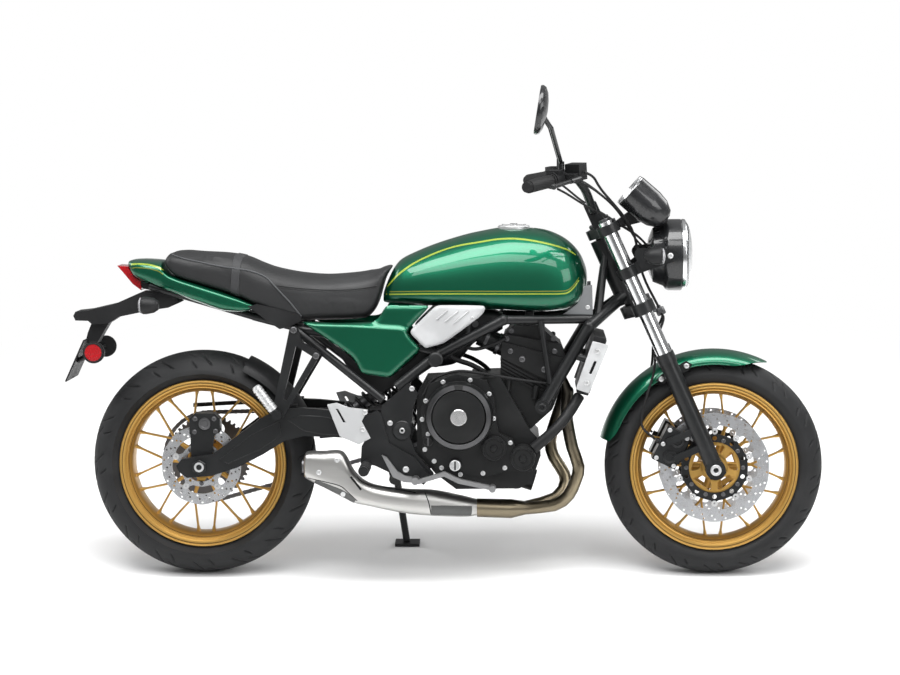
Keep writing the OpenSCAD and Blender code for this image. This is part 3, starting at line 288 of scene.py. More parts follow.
@dataclass(frozen=True)
class Finish:
    """A finish and the record's slot that it belongs to."""

    name: str
    slot: str
    colour: Colour

    def material(self) -> bpy.types.Material:
        """Gives the finish's material, made once.

        Returns:
            The material.
        """
        found = bpy.data.materials.get("finish_" + self.name)
        if found is None:
            found = bpy.data.materials.new("finish_" + self.name)
            self.draw(Graph(found))
        return found

    def tinted(self, scale: float, lift: float = 0.0) -> Colour:
        """Gives the colour scaled and lifted, with no channel above 1."""
        return tuple(min(1.0, c * scale + lift) for c in self.colour)

    def draw(self, graph: Graph) -> None:
        """Draws the nodes of the finish."""
        graph.surface(Base_Color=self.colour, Roughness=0.5)


@dataclass(frozen=True)
class Paint(Finish):
    """Metallic paint under a clear coat."""

    shade: Colour = (0.0, 0.0, 0.0)
    metallic: float = 0.5
    roughness: float = 0.34

    def draw(self, graph: Graph) -> None:
        """Draws flakes, a slow change of shade and a faint ripple in the coat.

        Args:
            graph: nodes of the material.
        """
        flakes = graph.cells(2600.0).ramp(0.1, 0.75)
        slow = graph.noise(5.0, 2.0)
        base = graph.mix(slow * 0.25 + flakes * 0.22, self.colour, self.shade)
        ripple = graph.bump(graph.noise(150.0, 2.0), 0.03, 0.0004)
        graph.surface(
            Base_Color=base, Metallic=self.metallic, Roughness=flakes * 0.08 + self.roughness,
            Coat_Weight=0.8, Coat_Roughness=0.03, Normal=ripple,
        )


@dataclass(frozen=True)
class Satin(Finish):
    """Paint, powder coat or moulded plastic with a fine grain."""

    roughness: float = 0.42
    grain: float = 900.0
    depth: float = 0.00012
    gloss: float = 0.35
    coat: float = 0.0

    def draw(self, graph: Graph) -> None:
        """Draws the grain, with dust that dulls and lightens it in patches.

        Args:
            graph: nodes of the material.
        """
        dust = graph.noise(9.0, 5.0).ramp(0.42, 0.78)
        grain = graph.noise(self.grain, 4.0)
        graph.surface(
            Base_Color=graph.mix(dust * 0.5 + grain * 0.2, self.colour, self.tinted(1.6, 0.006)),
            Roughness=dust * 0.14 + self.roughness, Specular_IOR_Level=self.gloss,
            Coat_Weight=self.coat, Coat_Roughness=0.06, Normal=graph.bump(grain, 0.45, self.depth),
        )


@dataclass(frozen=True)
class Metal(Finish):
    """Bare or plated metal with a grain along one direction."""

    roughness: float = 0.3
    grain: Place = (1.0, 1.0, 1.0)
    scale: float = 260.0
    depth: float = 0.00004
    metallic: float = 1.0

    def draw(self, graph: Graph) -> None:
        """Draws the brush marks and slow smears in the roughness.

        Args:
            graph: nodes of the material.
        """
        marks = graph.noise(self.scale, 4.0, self.grain)
        smear = graph.noise(14.0, 4.0)
        graph.surface(
            Base_Color=graph.mix(marks * 0.3 + smear * 0.25, self.colour, self.tinted(0.72)),
            Metallic=self.metallic, Roughness=marks * 0.12 + smear * 0.12 + (self.roughness - 0.1),
            Normal=graph.bump(marks, 0.3, self.depth),
        )


@dataclass(frozen=True)
class Spun(Finish):
    """Metal turned about an axle, with marks that run round it."""

    centre: Place = FRONT_AXLE
    roughness: float = 0.28

    def draw(self, graph: Graph) -> None:
        """Draws fine rings about the axle.

        Args:
            graph: nodes of the material.
        """
        hub = PARKED @ Vector(self.centre)
        along = PARKED.to_3x3() @ Vector(ACROSS)
        offset = graph.vector("SUBTRACT", graph.place(), hub)
        turn = graph.vector("CROSS_PRODUCT", offset, along.normalized())
        radius = graph.vector("LENGTH", turn, output="Value")
        rings = (radius * 5200.0).sine() * 0.5 + 0.5
        smear = graph.noise(30.0, 4.0)
        graph.surface(
            Base_Color=graph.mix(rings * 0.25 + smear * 0.3, self.colour, self.tinted(0.75)),
            Metallic=1.0, Roughness=rings * 0.08 + smear * 0.12 + (self.roughness - 0.08),
            Normal=graph.bump(rings, 0.12, 0.00003),
        )


@dataclass(frozen=True)
class Rubber(Finish):
    """Rubber with a fine pebbled skin."""

    roughness: float = 0.62
    scale: float = 700.0

    def draw(self, graph: Graph) -> None:
        """Draws the skin, with grey dust in patches.

        Args:
            graph: nodes of the material.
        """
        dust = graph.noise(12.0, 6.0).ramp(0.4, 0.8)
        skin = graph.cells(self.scale)
        graph.surface(
            Base_Color=graph.mix(dust * 0.55, self.colour, self.tinted(1.9, 0.008)),
            Roughness=dust * 0.16 + self.roughness, Specular_IOR_Level=0.3,
            Normal=graph.bump(skin, 0.35, 0.0002),
        )


@dataclass(frozen=True)
class Leather(Finish):
    """Grained seat cover."""

    roughness: float = 0.5

    def draw(self, graph: Graph) -> None:
        """Draws the pebble grain, pores and slow wear on top of the seat.

        Args:
            graph: nodes of the material.
        """
        pebbles = graph.cells(520.0, "SMOOTH_F1")
        pores = graph.noise(2200.0, 3.0)
        wear = graph.noise(7.0, 4.0).ramp(0.4, 0.75)
        height = pebbles * 0.8 + pores * 0.2
        graph.surface(
            Base_Color=graph.mix(wear * 0.5 + pebbles * 0.35, self.colour, self.tinted(1.7, 0.004)),
            Roughness=self.roughness - wear * 0.08 + pebbles * 0.12, Specular_IOR_Level=0.35,
            Normal=graph.bump(height, 0.5, 0.00035),
        )


@dataclass(frozen=True)
class Heated(Finish):
    """Exhaust pipe steel, tinted by heat from its ports down."""

    def draw(self, graph: Graph) -> None:
        """Draws bands of straw and brown over the height of the pipes.

        Args:
            graph: nodes of the material.
        """
        height = graph.axis(2).ramp(0.12, 0.5) + (graph.noise(22.0, 4.0) - 0.5) * 0.25
        stops = [(0.0, (0.2, 0.17, 0.118)), (0.3, (0.26, 0.22, 0.15))]
        stops += [(0.6, (0.19, 0.16, 0.11)), (1.0, (0.1, 0.09, 0.075))]
        tint = graph.node("ShaderNodeValToRGB", {"stops": stops}, {"Fac": height})
        smear = graph.noise(60.0, 5.0)
        graph.surface(
            Base_Color=tint, Metallic=1.0, Roughness=smear * 0.25 + 0.2,
            Normal=graph.bump(smear, 0.2, 0.0002),
        )


@dataclass(frozen=True)
class Lens(Finish):
    """Clear or tinted moulded lens."""

    through: float = 1.0
    roughness: float = 0.03
    facets: float = 0.0

    def draw(self, graph: Graph) -> None:
        """Draws a smooth or faceted lens with faint flow marks.

        Args:
            graph: nodes of the material.
        """
        flow = graph.noise(30.0, 3.0)
        height = graph.cells(self.facets) if self.facets else flow
        graph.surface(
            Base_Color=graph.mix(flow * 0.2, self.colour, self.tinted(0.8)),
            Roughness=flow * 0.04 + self.roughness, Transmission_Weight=self.through, Coat_Weight=0.6,
            Normal=graph.bump(height, 0.5 if self.facets else 0.02, 0.001),
        )


GREEN = Paint("green_paint", "green_paint", (0.0, 0.125, 0.06), shade=(0.0, 0.06, 0.03), metallic=0.85)
STRIPE = Paint("pale_stripe", "green_paint", (0.3, 0.4, 0.035), shade=(0.2, 0.28, 0.02), metallic=0.15)
FINE_STRIPE = Paint("fine_stripe", "green_paint", (0.17, 0.19, 0.015), shade=(0.1, 0.14, 0.01), metallic=0.15)
BLACK = Satin("black_paint", "black_paint", (0.0085, 0.009, 0.0095), roughness=0.36, gloss=0.3, coat=0.1)
ENGINE = Satin("engine_black", "engine_black", (0.0075, 0.0078, 0.008), roughness=0.38,
               grain=700.0, depth=0.0002, gloss=0.3)
PLASTIC = Satin("black_plastic", "black_plastic", (0.008, 0.0082, 0.0088), roughness=0.5, grain=1400.0,
                gloss=0.3)
GLOSS = Satin("gloss_black", "gloss_black", (0.009, 0.0095, 0.0105), roughness=0.26, depth=0.00002, coat=0.6)
GREY = Satin("grey_trim", "grey_plastic", (0.15, 0.155, 0.16), roughness=0.45)
PIPING = Satin("grey_piping", "seat_cover", (0.055, 0.057, 0.06), roughness=0.55)
GOLD = Metal("gold", "gold", (0.56, 0.33, 0.085), roughness=0.38, scale=420.0, metallic=0.75)
# Darker gold for the bands in the rim's grooves: painted shade.
GOLD_GROOVE_SHADE = Metal("dark_gold", "gold", (0.13, 0.075, 0.02), roughness=0.5, scale=420.0, metallic=0.6)
TYRE = Rubber("tyre_rubber", "tyre_rubber", (0.0115, 0.0118, 0.0125))
RUBBER = Rubber("rubber", "rubber", (0.009, 0.009, 0.0095), scale=1100.0)
ROTOR_FRONT = Spun("front_rotor_steel", "disc_steel", (0.66, 0.67, 0.69))
ROTOR_REAR = Spun("rear_rotor_steel", "disc_steel", (0.66, 0.67, 0.69), centre=REAR_AXLE)
DARK_STEEL = Metal("dark_steel", "dark_steel", (0.16, 0.16, 0.165), roughness=0.4)
CHROME = Metal("chrome", "chrome", (0.86, 0.87, 0.88), roughness=0.16, scale=40.0, depth=0.00001)
SILVER = Metal("silver", "silver", (0.74, 0.745, 0.75), roughness=0.36, grain=(0.05, 1.0, 1.0), metallic=0.8)
BRUSHED = Metal("brushed_silver", "silver", (0.54, 0.535, 0.52), roughness=0.36, grain=(0.04, 1.0, 1.0))
# Darker silver laid over the muffler's lower panels as painted shade.
PAINTED_SHADE_SILVER = Metal("shaded_silver", "silver", (0.12, 0.122, 0.12), roughness=0.42, grain=(0.04, 1.0, 1.0))
WHITE_SILVER = Satin("silver_paint", "silver", (0.4, 0.405, 0.41), roughness=0.42, coat=0.1)
RING = Metal("cover_ring", "engine_black", (0.1, 0.1, 0.103), roughness=0.34)
ALLOY = Metal("cast_alloy", "silver", (0.36, 0.36, 0.365), roughness=0.42)
HEADER = Heated("header_steel", "header_steel", (0.19, 0.155, 0.1))
STRAP = Leather("seat_strap", "seat_cover", (0.028, 0.0285, 0.03), roughness=0.6)
COVER = Leather("seat_cover", "seat_cover", (0.0145, 0.0148, 0.0155))
CLEAR = Lens("clear_lens", "clear_lens", (0.95, 0.97, 0.98))
RED = Lens("red_lens", "red_lens", (0.42, 0.004, 0.008), through=0.25, roughness=0.1)
RED_FACETS = Lens("red_reflector", "red_lens", (0.4, 0.006, 0.01), through=0.1, roughness=0.12, facets=260.0)
SMOKED = Lens("smoked_lens", "clear_lens", (0.5, 0.5, 0.52), through=0.4, roughness=0.1)
MIRROR = Metal("mirror", "mirror", (0.9, 0.92, 0.93), roughness=0.12, scale=20.0, depth=0.000005)


def flow(rows: np.ndarray, steps: int, tight: bool = False) -> np.ndarray:
    """Runs a smooth curve through rows of numbers.

    Args:
        rows: the rows to pass through.
        steps: steps between two rows.
        tight: whether the curve keeps from swinging past the rows.

    Returns:
        The rows of the curve.
    """
    rows = np.asarray(rows, float)
    gaps = np.diff(rows, axis=0)
    slopes = np.empty_like(rows)
    slopes[0], slopes[-1] = gaps[0], gaps[-1]
    slopes[1:-1] = (gaps[1:] + gaps[:-1]) / 2.0
    if tight:
        product = gaps[1:] * gaps[:-1]
        total = np.where(np.abs(gaps[1:] + gaps[:-1]) < 1e-9, 1.0, gaps[1:] + gaps[:-1])
        slopes[1:-1] = np.where(product > 0, 2.0 * product / total, 0.0)
    out = [rows[0]]
    for i in range(len(rows) - 1):
        for k in range(1, steps + 1):
            t = k / steps
            out.append(
                (2 * t**3 - 3 * t**2 + 1) * rows[i]
                + (t**3 - 2 * t**2 + t) * slopes[i]
                + (3 * t**2 - 2 * t**3) * rows[i + 1]
                + (t**3 - t**2) * slopes[i + 1]
            )
    return np.array(out)


def section(row: Sequence[float], sides: int) -> np.ndarray:
    """Draws one section of a body.

    Args:
        row: x, middle y, half width, bottom, waist and top height, and the lower and upper exponents.
        sides: points round the section.

    Returns:
        The points of the section.
    """
    x, middle, half, low, waist, high, soft_low, soft_high = row
    points = []
    for k in range(sides):
        angle = 2.0 * pi * (k + 0.5) / sides
        c, s = cos(angle), sin(angle)
        power = 2.0 / (soft_low if s < 0 else soft_high)
        reach = waist - low if s < 0 else high - waist
        y = middle + half * copysign(abs(c) ** power, c)
        points.append((x, y, waist + reach * copysign(abs(s) ** power, s)))
    return np.array(points)


class Shape:
    """Points and faces of one piece, gathered upright in millimetres."""

    def __init__(self) -> None:
        """Starts an empty piece."""
        self.points: list[Sequence[float]] = []
        self.faces: list[list[int]] = []

    def add(self, points: Sequence[Sequence[float]], faces: Sequence[Sequence[int]]) -> Shape:
        """Adds points and the faces between them.

        Args:
            points: places of the points.
            faces: numbers of each face's points.

        Returns:
            This piece.
        """
        base = len(self.points)
        self.points.extend([tuple(float(c) for c in p) for p in points])
        self.faces.extend([[base + i for i in face] for face in faces])
        return self

    def skin(self, rings: np.ndarray, caps: bool = True, loop: bool = False) -> Shape:
        """Skins rings of equal length.

        Args:
            rings: the rings, each closed on itself.
            caps: whether the first and last ring are closed.
            loop: whether the last ring joins the first.

        Returns:
            This piece.
        """
        count, sides = rings.shape[:2]
        last = count if loop else count - 1
        faces: list[list[int]] = []
        for i in range(last):
            a, b = i * sides, (i + 1) % count * sides
            for k in range(sides):
                n = (k + 1) % sides
                faces.append([a + k, a + n, b + n, b + k])
        if caps and not loop:
            faces.append(list(range(sides))[::-1])
            faces.append([(count - 1) * sides + k for k in range(sides)])
        return self.add(rings.reshape(-1, 3), faces)

    def loft(self, rows: Sequence[Sequence[float]], steps: int, sides: int, tight: bool = False) -> Shape:
        """Skins sections along rows, smoothed between them."""
        return self.skin(np.array([section(row, sides) for row in flow(np.array(rows), steps, tight)]))

    def tube(self, path: Sequence[Sequence[float]], radius: float, sides: int = 12) -> Shape:
        """Runs a round tube along a path.

        Args:
            path: places to pass.
            radius: radius of the tube.
            sides: points round it.

        Returns:
            This piece.
        """
        points = [Vector(p) for p in path]
        rings = []
        normal = None
        for i, point in enumerate(points):
            way = (points[min(i + 1, len(points) - 1)] - points[max(i - 1, 0)]).normalized()
            if normal is None:
                normal = way.orthogonal().normalized()
            normal = (normal - way * normal.dot(way)).normalized()
            side = way.cross(normal)
            turns = [2.0 * pi * k / sides for k in range(sides)]
            rings.append([point + radius * (cos(t) * normal + sin(t) * side) for t in turns])
        return self.skin(np.array(rings))

    def hose(self, path: Sequence[Place], radius: float, side: float, sides: int) -> Shape:
        """Runs a smooth tube through places that are given for the left side."""
        return self.tube(flow(np.array([(x, side * y, z) for x, y, z in path]), 6), radius, sides)

    def revolve(
        self, profile: Sequence[Flat], at: Sequence[float], axis: Sequence[float],
        sides: int = 64, start: float = 0.0, sweep: float = 360.0,
    ) -> Shape:
        """Turns a closed profile about an axis.

        Args:
            profile: radius and height along the axis of each corner.
            at: a place on the axis.
            axis: its direction.
            sides: steps of the turn.
            start: first angle, from the upright for an axis across the motorcycle, in degrees.
            sweep: angle turned, in degrees.

        Returns:
            This piece.
        """
        up = Vector(axis).normalized()
        first = Vector(UP) if abs(up.z) < 0.9 else Vector((1.0, 0.0, 0.0))
        first = (first - up * first.dot(up)).normalized()
        second = up.cross(first)
        whole = sweep >= 360.0
        rings = []
        for k in range(sides if whole else sides + 1):
            angle = radians(start + sweep * k / sides)
            out = cos(angle) * first + sin(angle) * second
            rings.append([Vector(at) + r * out + h * up for r, h in profile])
        return self.skin(np.array(rings), caps=not whole, loop=whole)

    def plate(self, outline: Sequence[Flat], y0: float, y1: float) -> Shape:
        """Raises an upright outline between two places across the motorcycle."""
        return self.skin(np.array([[(x, y, z) for x, z in outline] for y in (y0, y1)]))

    def bolt(self, at: Sequence[float], axis: Sequence[float], radius: float, height: float) -> Shape:
        """Adds a cap screw with a socket and a washer face.

        Args:
            at: middle of its seat.
            axis: the way it points.
            radius: radius of its head.
            height: height of its head.

        Returns:
            This piece.
        """
        head = [(0, 0), (1.25, 0), (1.25, 0.2), (1, 0.25), (1, 0.85)]
        socket = [(0.85, 1), (0.58, 1), (0.5, 0.5), (0, 0.5)]
        return self.revolve([(radius * r, height * h) for r, h in head + socket], at, axis, 12)

    def mesh(self, name: str) -> bpy.types.Mesh:
        """Makes the parked mesh, with its faces turned outward.

        Args:
            name: name of the mesh.

        Returns:
            The mesh.
        """
        mesh = bpy.data.meshes.new(name)
        mesh.from_pydata(self.points, [], self.faces)
        work = bmesh.new()
        work.from_mesh(mesh)
        bmesh.ops.remove_doubles(work, verts=work.verts, dist=0.002)
        bmesh.ops.dissolve_degenerate(work, edges=work.edges, dist=0.001)
        loose = [edge for edge in work.edges if not edge.link_faces]
        bmesh.ops.delete(work, geom=loose, context="EDGES")
        bmesh.ops.recalc_face_normals(work, faces=work.faces)
        work.to_mesh(mesh)
        work.free()
        mesh.transform(PARKED)
        return mesh

    def make(
        self, name: str, finish: Finish, body: Body = Body.CHASSIS,
        replaces: Sequence[str] = (), crease: float = CREASE,
    ) -> None:
        """Makes the piece under a name, then settles it."""
        settle(put(name, self.mesh(name)), finish, body, replaces, crease)


def put(name: str, data: bpy.types.ID) -> bpy.types.Object:
    """Makes an object of a mesh, curve, light or camera and links it into the scene.

    Args:
        name: name of the object.
        data: what it is made of.

    Returns:
        The object.
    """
    made = bpy.data.objects.new(name, data)
    bpy.context.scene.collection.objects.link(made)
    return made


def modify(piece: bpy.types.Object, kind: str, **settings: Any) -> None:
    """Adds a modifier of a kind to a piece, with its settings.

    Args:
        piece: the piece that takes it.
        kind: the modifier's type.
        settings: its properties.
    """
    made = piece.modifiers.new(kind.lower(), kind)
    for key, value in settings.items():
        setattr(made, key, value)


def settle(
    piece: bpy.types.Object, finish: Finish, body: Body = Body.CHASSIS,
    replaces: Sequence[str] = (), crease: float = CREASE,
) -> None:
    """Args:
        piece: the piece, in place.
        finish: its finish.
        body: the body it rides on.
        replaces: solids it stands for.
        crease: angle in degrees above which an edge is sharp.
    """
    piece.data.shade_smooth()
    piece.data.set_sharp_from_angle(angle=radians(crease))
    piece.data.materials.clear()
    piece.data.materials.append(finish.material())
    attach(piece, body.value)
    if replaces:
        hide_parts(*replaces)
    LOG.info("%s on %s: %d faces", piece.name, body.value, len(piece.data.polygons))


def carve(piece: bpy.types.Object, cutter: Shape) -> None:
    """Cuts a shape out of a piece.

    Args:
        piece: the piece that is cut.
        cutter: what is taken away.
    """
    tool = put("cutter", cutter.mesh("cutter"))
    modify(piece, "BOOLEAN", operation="DIFFERENCE", solver="EXACT", object=tool)
    bake(piece)
    bpy.data.objects.remove(tool)


def bake(piece: bpy.types.Object) -> None:
    """Applies a piece's modifiers to its mesh.

    Args:
        piece: the piece.
    """
    bpy.context.view_layer.update()
    graph = bpy.context.evaluated_depsgraph_get()
    mesh = bpy.data.meshes.new_from_object(piece.evaluated_get(graph))
    piece.modifiers.clear()
    piece.data = mesh


class Drape:
    """Lays trim on the surface of a shape, along paths seen from the side."""

    def __init__(self, shape: Shape) -> None:
        """Prepares the shape for ray casts."""
        self.tree = BVHTree.FromPolygons(shape.points, shape.faces)

    def cast(self, x: float, z: float, side: float) -> Optional[tuple[Vector, Vector]]:
        """Finds the surface seen from one side.

        Args:
            x: place along the motorcycle.
            z: height.
            side: LEFT or RIGHT.

        Returns:
            The place and the outward normal, or None past the surface's edge.
        """
        start = Vector((x, side * FAR_OUT, z))
        place, normal, _, _ = self.tree.ray_cast(start, Vector((0.0, -side, 0.0)))
        if place is None:
            return None
        return place, normal if normal.y * side > 0 else -normal

    def walk(self, path: Sequence[Flat], side: float) -> list[tuple[Vector, Vector, Vector]]:
        """Walks a smooth path over the surface.

        Args:
            path: x and height of the points to pass.
            side: LEFT or RIGHT.

        Returns:
            Place, normal and direction across the path of each step that meets the surface.
        """
        steps = flow(np.array(path, float), 8)
        out = []
        for i, (x, z) in enumerate(steps):
            hit = self.cast(x, z, side)
            if hit is None:
                continue
            ahead = steps[min(i + 1, len(steps) - 1)] - steps[max(i - 1, 0)]
            way = Vector((ahead[0], 0.0, ahead[1])).normalized()
            out.append((hit[0], hit[1], hit[1].cross(way).normalized()))
        return out

    def ribbon(
        self, shape: Shape, path: Sequence[Flat], width: float, side: float, proud: float = 0.35
    ) -> None:
        """Adds a flat ribbon to a shape.

        Args:
            shape: the piece that takes the ribbon.
            path: x and height of the points to pass.
            width: width of the ribbon.
            side: LEFT or RIGHT.
            proud: its height over the surface.
        """
        rings = []
        for place, normal, across in self.walk(path, side):
            upper, lower = [], []
            for span in (-0.5, -0.25, 0.0, 0.25, 0.5):
                near, outward, _, _ = self.tree.find_nearest(place + across * width * span)
                outward = outward if outward.dot(normal) > 0 else -outward
                upper.append(near + outward * proud)
                lower.append(near - outward * 0.8)
            rings.append(upper + lower[::-1])
        if len(rings) > 1:
            shape.skin(np.array(rings))

    def bead(self, shape: Shape, path: Sequence[Flat], radius: float, side: float, sunk: float = 0.3) -> None:
        """Adds a round bead to a shape, sunk by a share of its radius.

        Args:
            shape: the piece that takes the bead.
            path: x and height of the points to pass.
            radius: radius of the bead.
            side: LEFT or RIGHT.
            sunk: share that is sunk.
        """
        line = [place + normal * radius * (1.0 - 2.0 * sunk) for place, normal, _ in self.walk(path, side)]
        if len(line) > 1:
            shape.tube(line, radius, 10)


@dataclass
class Tank:
    """Fuel tank with its stripes, and the lid's trim."""

    half: float = 133.0
    top: float = 957.0
    lid_x: float = 857.0
    lid_r: float = 44.0
    filler_r: float = 21.0
    lower_line: Line = (
        (509, 783), (603, 786), (712, 787), (821, 787), (929, 787), (983, 787), (1004, 790), (1020, 803),
        (1034, 822),
    )
    upper_line: Line = (
        (511, 795), (548, 834), (602, 869), (684, 902), (766, 918), (820, 926), (875, 926), (942, 915),
        (997, 899), (1026, 882),
    )

    def rows(self) -> list[tuple[float, ...]]:
        """Gives the sections of the tank.

        Returns:
            Rows as section takes them.
        """
        w, t = self.half, self.top
        return [
            (500, 0, w - 96, 758, 766, 774, 4, 2.4), (501, 0, w - 81, 753, 767, 782, 4, 2.4),
            (515, 0, w - 59, 750, 776, t - 138, 4, 2.4), (542, 0, w - 41, 748, 782, t - 94, 4, 2.4),
            (600, 0, w - 25, 745, 787, t - 63, 4, 2.3), (680, 0, w - 13, 741, 791, t - 34, 4, 2.2),
            (760, 0, w - 6, 736, 794, t - 13, 4, 2.2), (850, 0, w - 1, 730, 796, t, 4, 2.2),
            (930, 0, w, 727, 797, t - 6, 4, 2.2), (985, 0, w - 5, 730, 798, t - 25, 4, 2.2),
            (1022, 0, w - 21, 742, 800, t - 53, 3.5, 2.3), (1044, 0, w - 51, 758, 803, t - 84, 3, 2.3),
            (1056, 0, w - 97, 784, 810, t - 117, 2.5, 2.3), (1058, 0, w - 112, 797, 812, t - 130, 2.2, 2.2),
        ]

    def build(self) -> None:
        """Builds the tank and what is laid on it."""
        skin = Shape().loft(self.rows(), 9, 120, tight=True)
        tank = put("tank_skin", skin.mesh("tank_skin"))
        seat_z = self.top - 8.0
        lid = (self.lid_x, 0.0, seat_z)
        carve(tank, Shape().revolve(box(0, 0, self.lid_r + 4, 60), lid, UP))
        carve(tank, Shape().revolve(box(0, -45, self.filler_r, 1), lid, UP))
        reach = self.lid_x + self.lid_r
        carve(tank, Shape().plate(box(reach - 6, seat_z - 9, reach + 22, seat_z + 60), -16.0, 16.0))
        settle(tank, GREEN, replaces=["fuel_tank"], crease=50.0)
        drape = Drape(skin)
        pale, light = Shape(), Shape()
        for side in SIDES:
            drape.ribbon(pale, [(x, z - 7) for x, z in self.lower_line], 3.6, side)
            drape.ribbon(light, self.lower_line, 2.8, side)
            drape.ribbon(pale, self.upper_line, 6.5, side)
        pale.make("tank_stripes", STRIPE)
        light.make("tank_fine_stripes", FINE_STRIPE)
        self.trim(seat_z)

    def trim(self, seat_z: float) -> None:
        """Adds the pin of the lid, the ring of the filler and the lid's lock flap.

        Args:
            seat_z: height of the lid's seat.
        """
        hinge = (self.lid_x + self.lid_r + 9.0, 0.0, seat_z - 1.0)
        pin = Shape().revolve(box(0, -22, 2, 22), hinge, ACROSS, 16)
        r = self.filler_r
        ring = [(r - 1.2, -40), (r - 0.2, -40), (r - 0.2, -0.4), (r + 3, -0.3), (r + 3, 0.2), (r - 1.2, 0.2)]
        pin.revolve(ring, (self.lid_x, 0, seat_z), UP, 48)
        pin.make("filler_ring", CHROME)
        crown = (self.lid_x, 0.0, seat_z + 0.3)
        flap = Shape().revolve([(0, 13.8), (11, 13.7), (11, 15.2), (9, 16), (0, 16)], crown, UP, 40)
        for x, y in circle(34.0, 6, (self.lid_x, 0.0), 30.0):
            flap.bolt((x, y, seat_z + 11.6), UP, 3.0, 2.6)
        flap.make("lid_flap", CHROME, Body.FUEL_LID)


@dataclass
class Seat:
    """Padded seat with piping, a seam and the strap over it."""

    half: float = 119.0
    swell: float = 0.0045
    voxel: float = 0.005
    rear_pipe: Line = ((-80, 886), (-62, 880), (-40, 874), (4, 865), (50, 856), (98, 849))
    front_pipe: Line = (
        (98, 849), (130, 844), (157, 836), (185, 823), (210, 799), (232, 776), (251, 756), (270, 732),
        (280, 719),
    )
    seam: Line = (
        (216, 802), (250, 798), (278, 795), (330, 791), (386, 790), (440, 793), (486, 800),
    )

    def rows(self) -> list[tuple[float, ...]]:
        """Gives the sections of the seat, drawn in a little so that the cover can swell.

        Returns:
            Rows as section takes them.
        """
        w = self.half
        rows = [
            (-98, 0, w - 59, 858, 866, 876, 4, 3), (-87, 0, w - 37, 840, 862, 891, 4, 3),
            (-58, 0, w - 25, 820, 852, 893, 5, 3), (0, 0, w - 15, 801, 842, 888, 5, 3),
            (70, 0, w - 10, 779, 830, 884, 5, 3), (122, 0, w - 7, 760, 813, 875, 5, 3),
            (165, 0, w - 5, 737, 792, 857, 5, 3), (205, 0, w - 3, 718, 778, 843, 5, 3),
            (270, 0, w, 704, 768, 830, 5, 3), (345, 0, w - 3, 704, 764, 824, 5, 3),
            (420, 0, w - 15, 706, 764, 829, 5, 3), (460, 0, w - 25, 712, 770, 835, 5, 3),
            (484, 0, w - 33, 746, 788, 842, 5, 3), (503, 0, w - 39, 810, 826, 850, 4, 3),
            (518, 0, w - 49, 838, 845, 853, 4, 3), (525, 0, w - 69, 847, 849, 851, 3, 3),
        ]
        inset = 1.5
        return [
            (x, y, half - inset, low + inset, waist, high - inset, *soft)
            for x, y, half, low, waist, high, *soft in rows
        ]

    def build(self) -> None:
        """Builds the pad, swells it and sews on its trim."""
        pad = put("seat_pad", Shape().loft(self.rows(), 6, 72).mesh("seat_pad"))
        modify(pad, "REMESH", mode="VOXEL", voxel_size=self.voxel)
        modify(pad, "SMOOTH", factor=0.5, iterations=4)
        bake(pad)
        self.inflate(pad)
        modify(pad, "SUBSURF", levels=1, render_levels=1)
        bake(pad)
        settle(pad, COVER, replaces=["seat"], crease=75.0)
        self.sew(pad)

    def inflate(self, pad: bpy.types.Object) -> None:
        """Lets the cover swell as cloth, no further than the cap, with its base held.

        Args:
            pad: the pad that swells.
        """
        before = np.array([v.co for v in pad.data.vertices])
        upright = np.array([PARKED.inverted() @ v.co for v in pad.data.vertices])
        cloth = pad.modifiers.new("cloth", "CLOTH")
        cloth.settings.use_pressure = True
        cloth.settings.uniform_pressure_force = 4.0
        cloth.settings.quality = 4
        cloth.settings.effector_weights.gravity = 0.0
        scene = bpy.context.scene
        for frame_number in range(1, 21):
            scene.frame_set(frame_number)
        graph = bpy.context.evaluated_depsgraph_get()
        after = np.array([v.co for v in pad.evaluated_get(graph).data.vertices])
        pad.modifiers.clear()
        scene.frame_set(1)
        move = after - before
        far = np.linalg.norm(move, axis=1, keepdims=True)
        move *= np.minimum(1.0, self.swell / np.maximum(far, 1e-9))
        floor = np.interp(upright[:, 0], [r[0] for r in self.rows()], [r[3] for r in self.rows()])
        held = np.clip((upright[:, 2] - floor - 4.0) / 26.0, 0.0, 1.0)
        nose = np.clip((488.0 - upright[:, 0]) / 24.0, 0.0, 1.0)
        placed = before + move * (held * nose)[:, None]
        pad.data.vertices.foreach_set("co", placed.astype(np.float32).ravel())
        pad.data.update()

    def sew(self, pad: bpy.types.Object) -> None:
        """Sews on the piping, the seam and the strap.

        Args:
            pad: the pad they lie on.
        """
        back = PARKED.inverted()
        faces = [list(p.vertices) for p in pad.data.polygons]
        drape = Drape(Shape().add([back @ v.co for v in pad.data.vertices], faces))
        piping, seam = Shape(), Shape()
        for side in SIDES:
            drape.bead(piping, self.rear_pipe, 2.3, side)
            drape.bead(piping, self.front_pipe, 2.3, side)
            drape.bead(seam, self.seam, 1.5, side)
            drape.bead(seam, [(x, z - 4.5) for x, z in self.seam], 0.8, side)
        piping.make("seat_piping", PIPING)
        seam.make("seat_seam", COVER)
        self.strap(drape).make("seat_strap", STRAP)

    def strap(self, drape: Drape) -> Shape:
        """Lays the strap over the seat from side to side.

        Args:
            drape: surface of the pad.

        Returns:
            The strap.
        """
        rings = []
        core_z = 822.0
        for k in range(61):
            angle = radians(-118 + 236 * k / 60)
            out = Vector((0.0, sin(angle), cos(angle)))
            x = 101.0 + 8.0 * out.z
            upper, lower = [], []
            for span in (-12.0, -11.0, -4.0, 4.0, 11.0, 12.0):
                start = Vector((x + span, 0.0, core_z)) + out * 400.0
                spot, _, _, _ = drape.tree.ray_cast(start, -out)
                if spot is None:
                    continue
                lift = 2.0 if abs(span) < 11.5 else 0.4
                upper.append(spot + out * lift)
                lower.append(spot - out * 1.0)
            if len(upper) == 6:
                rings.append(upper + lower[::-1])
        return Shape().skin(np.array(rings))


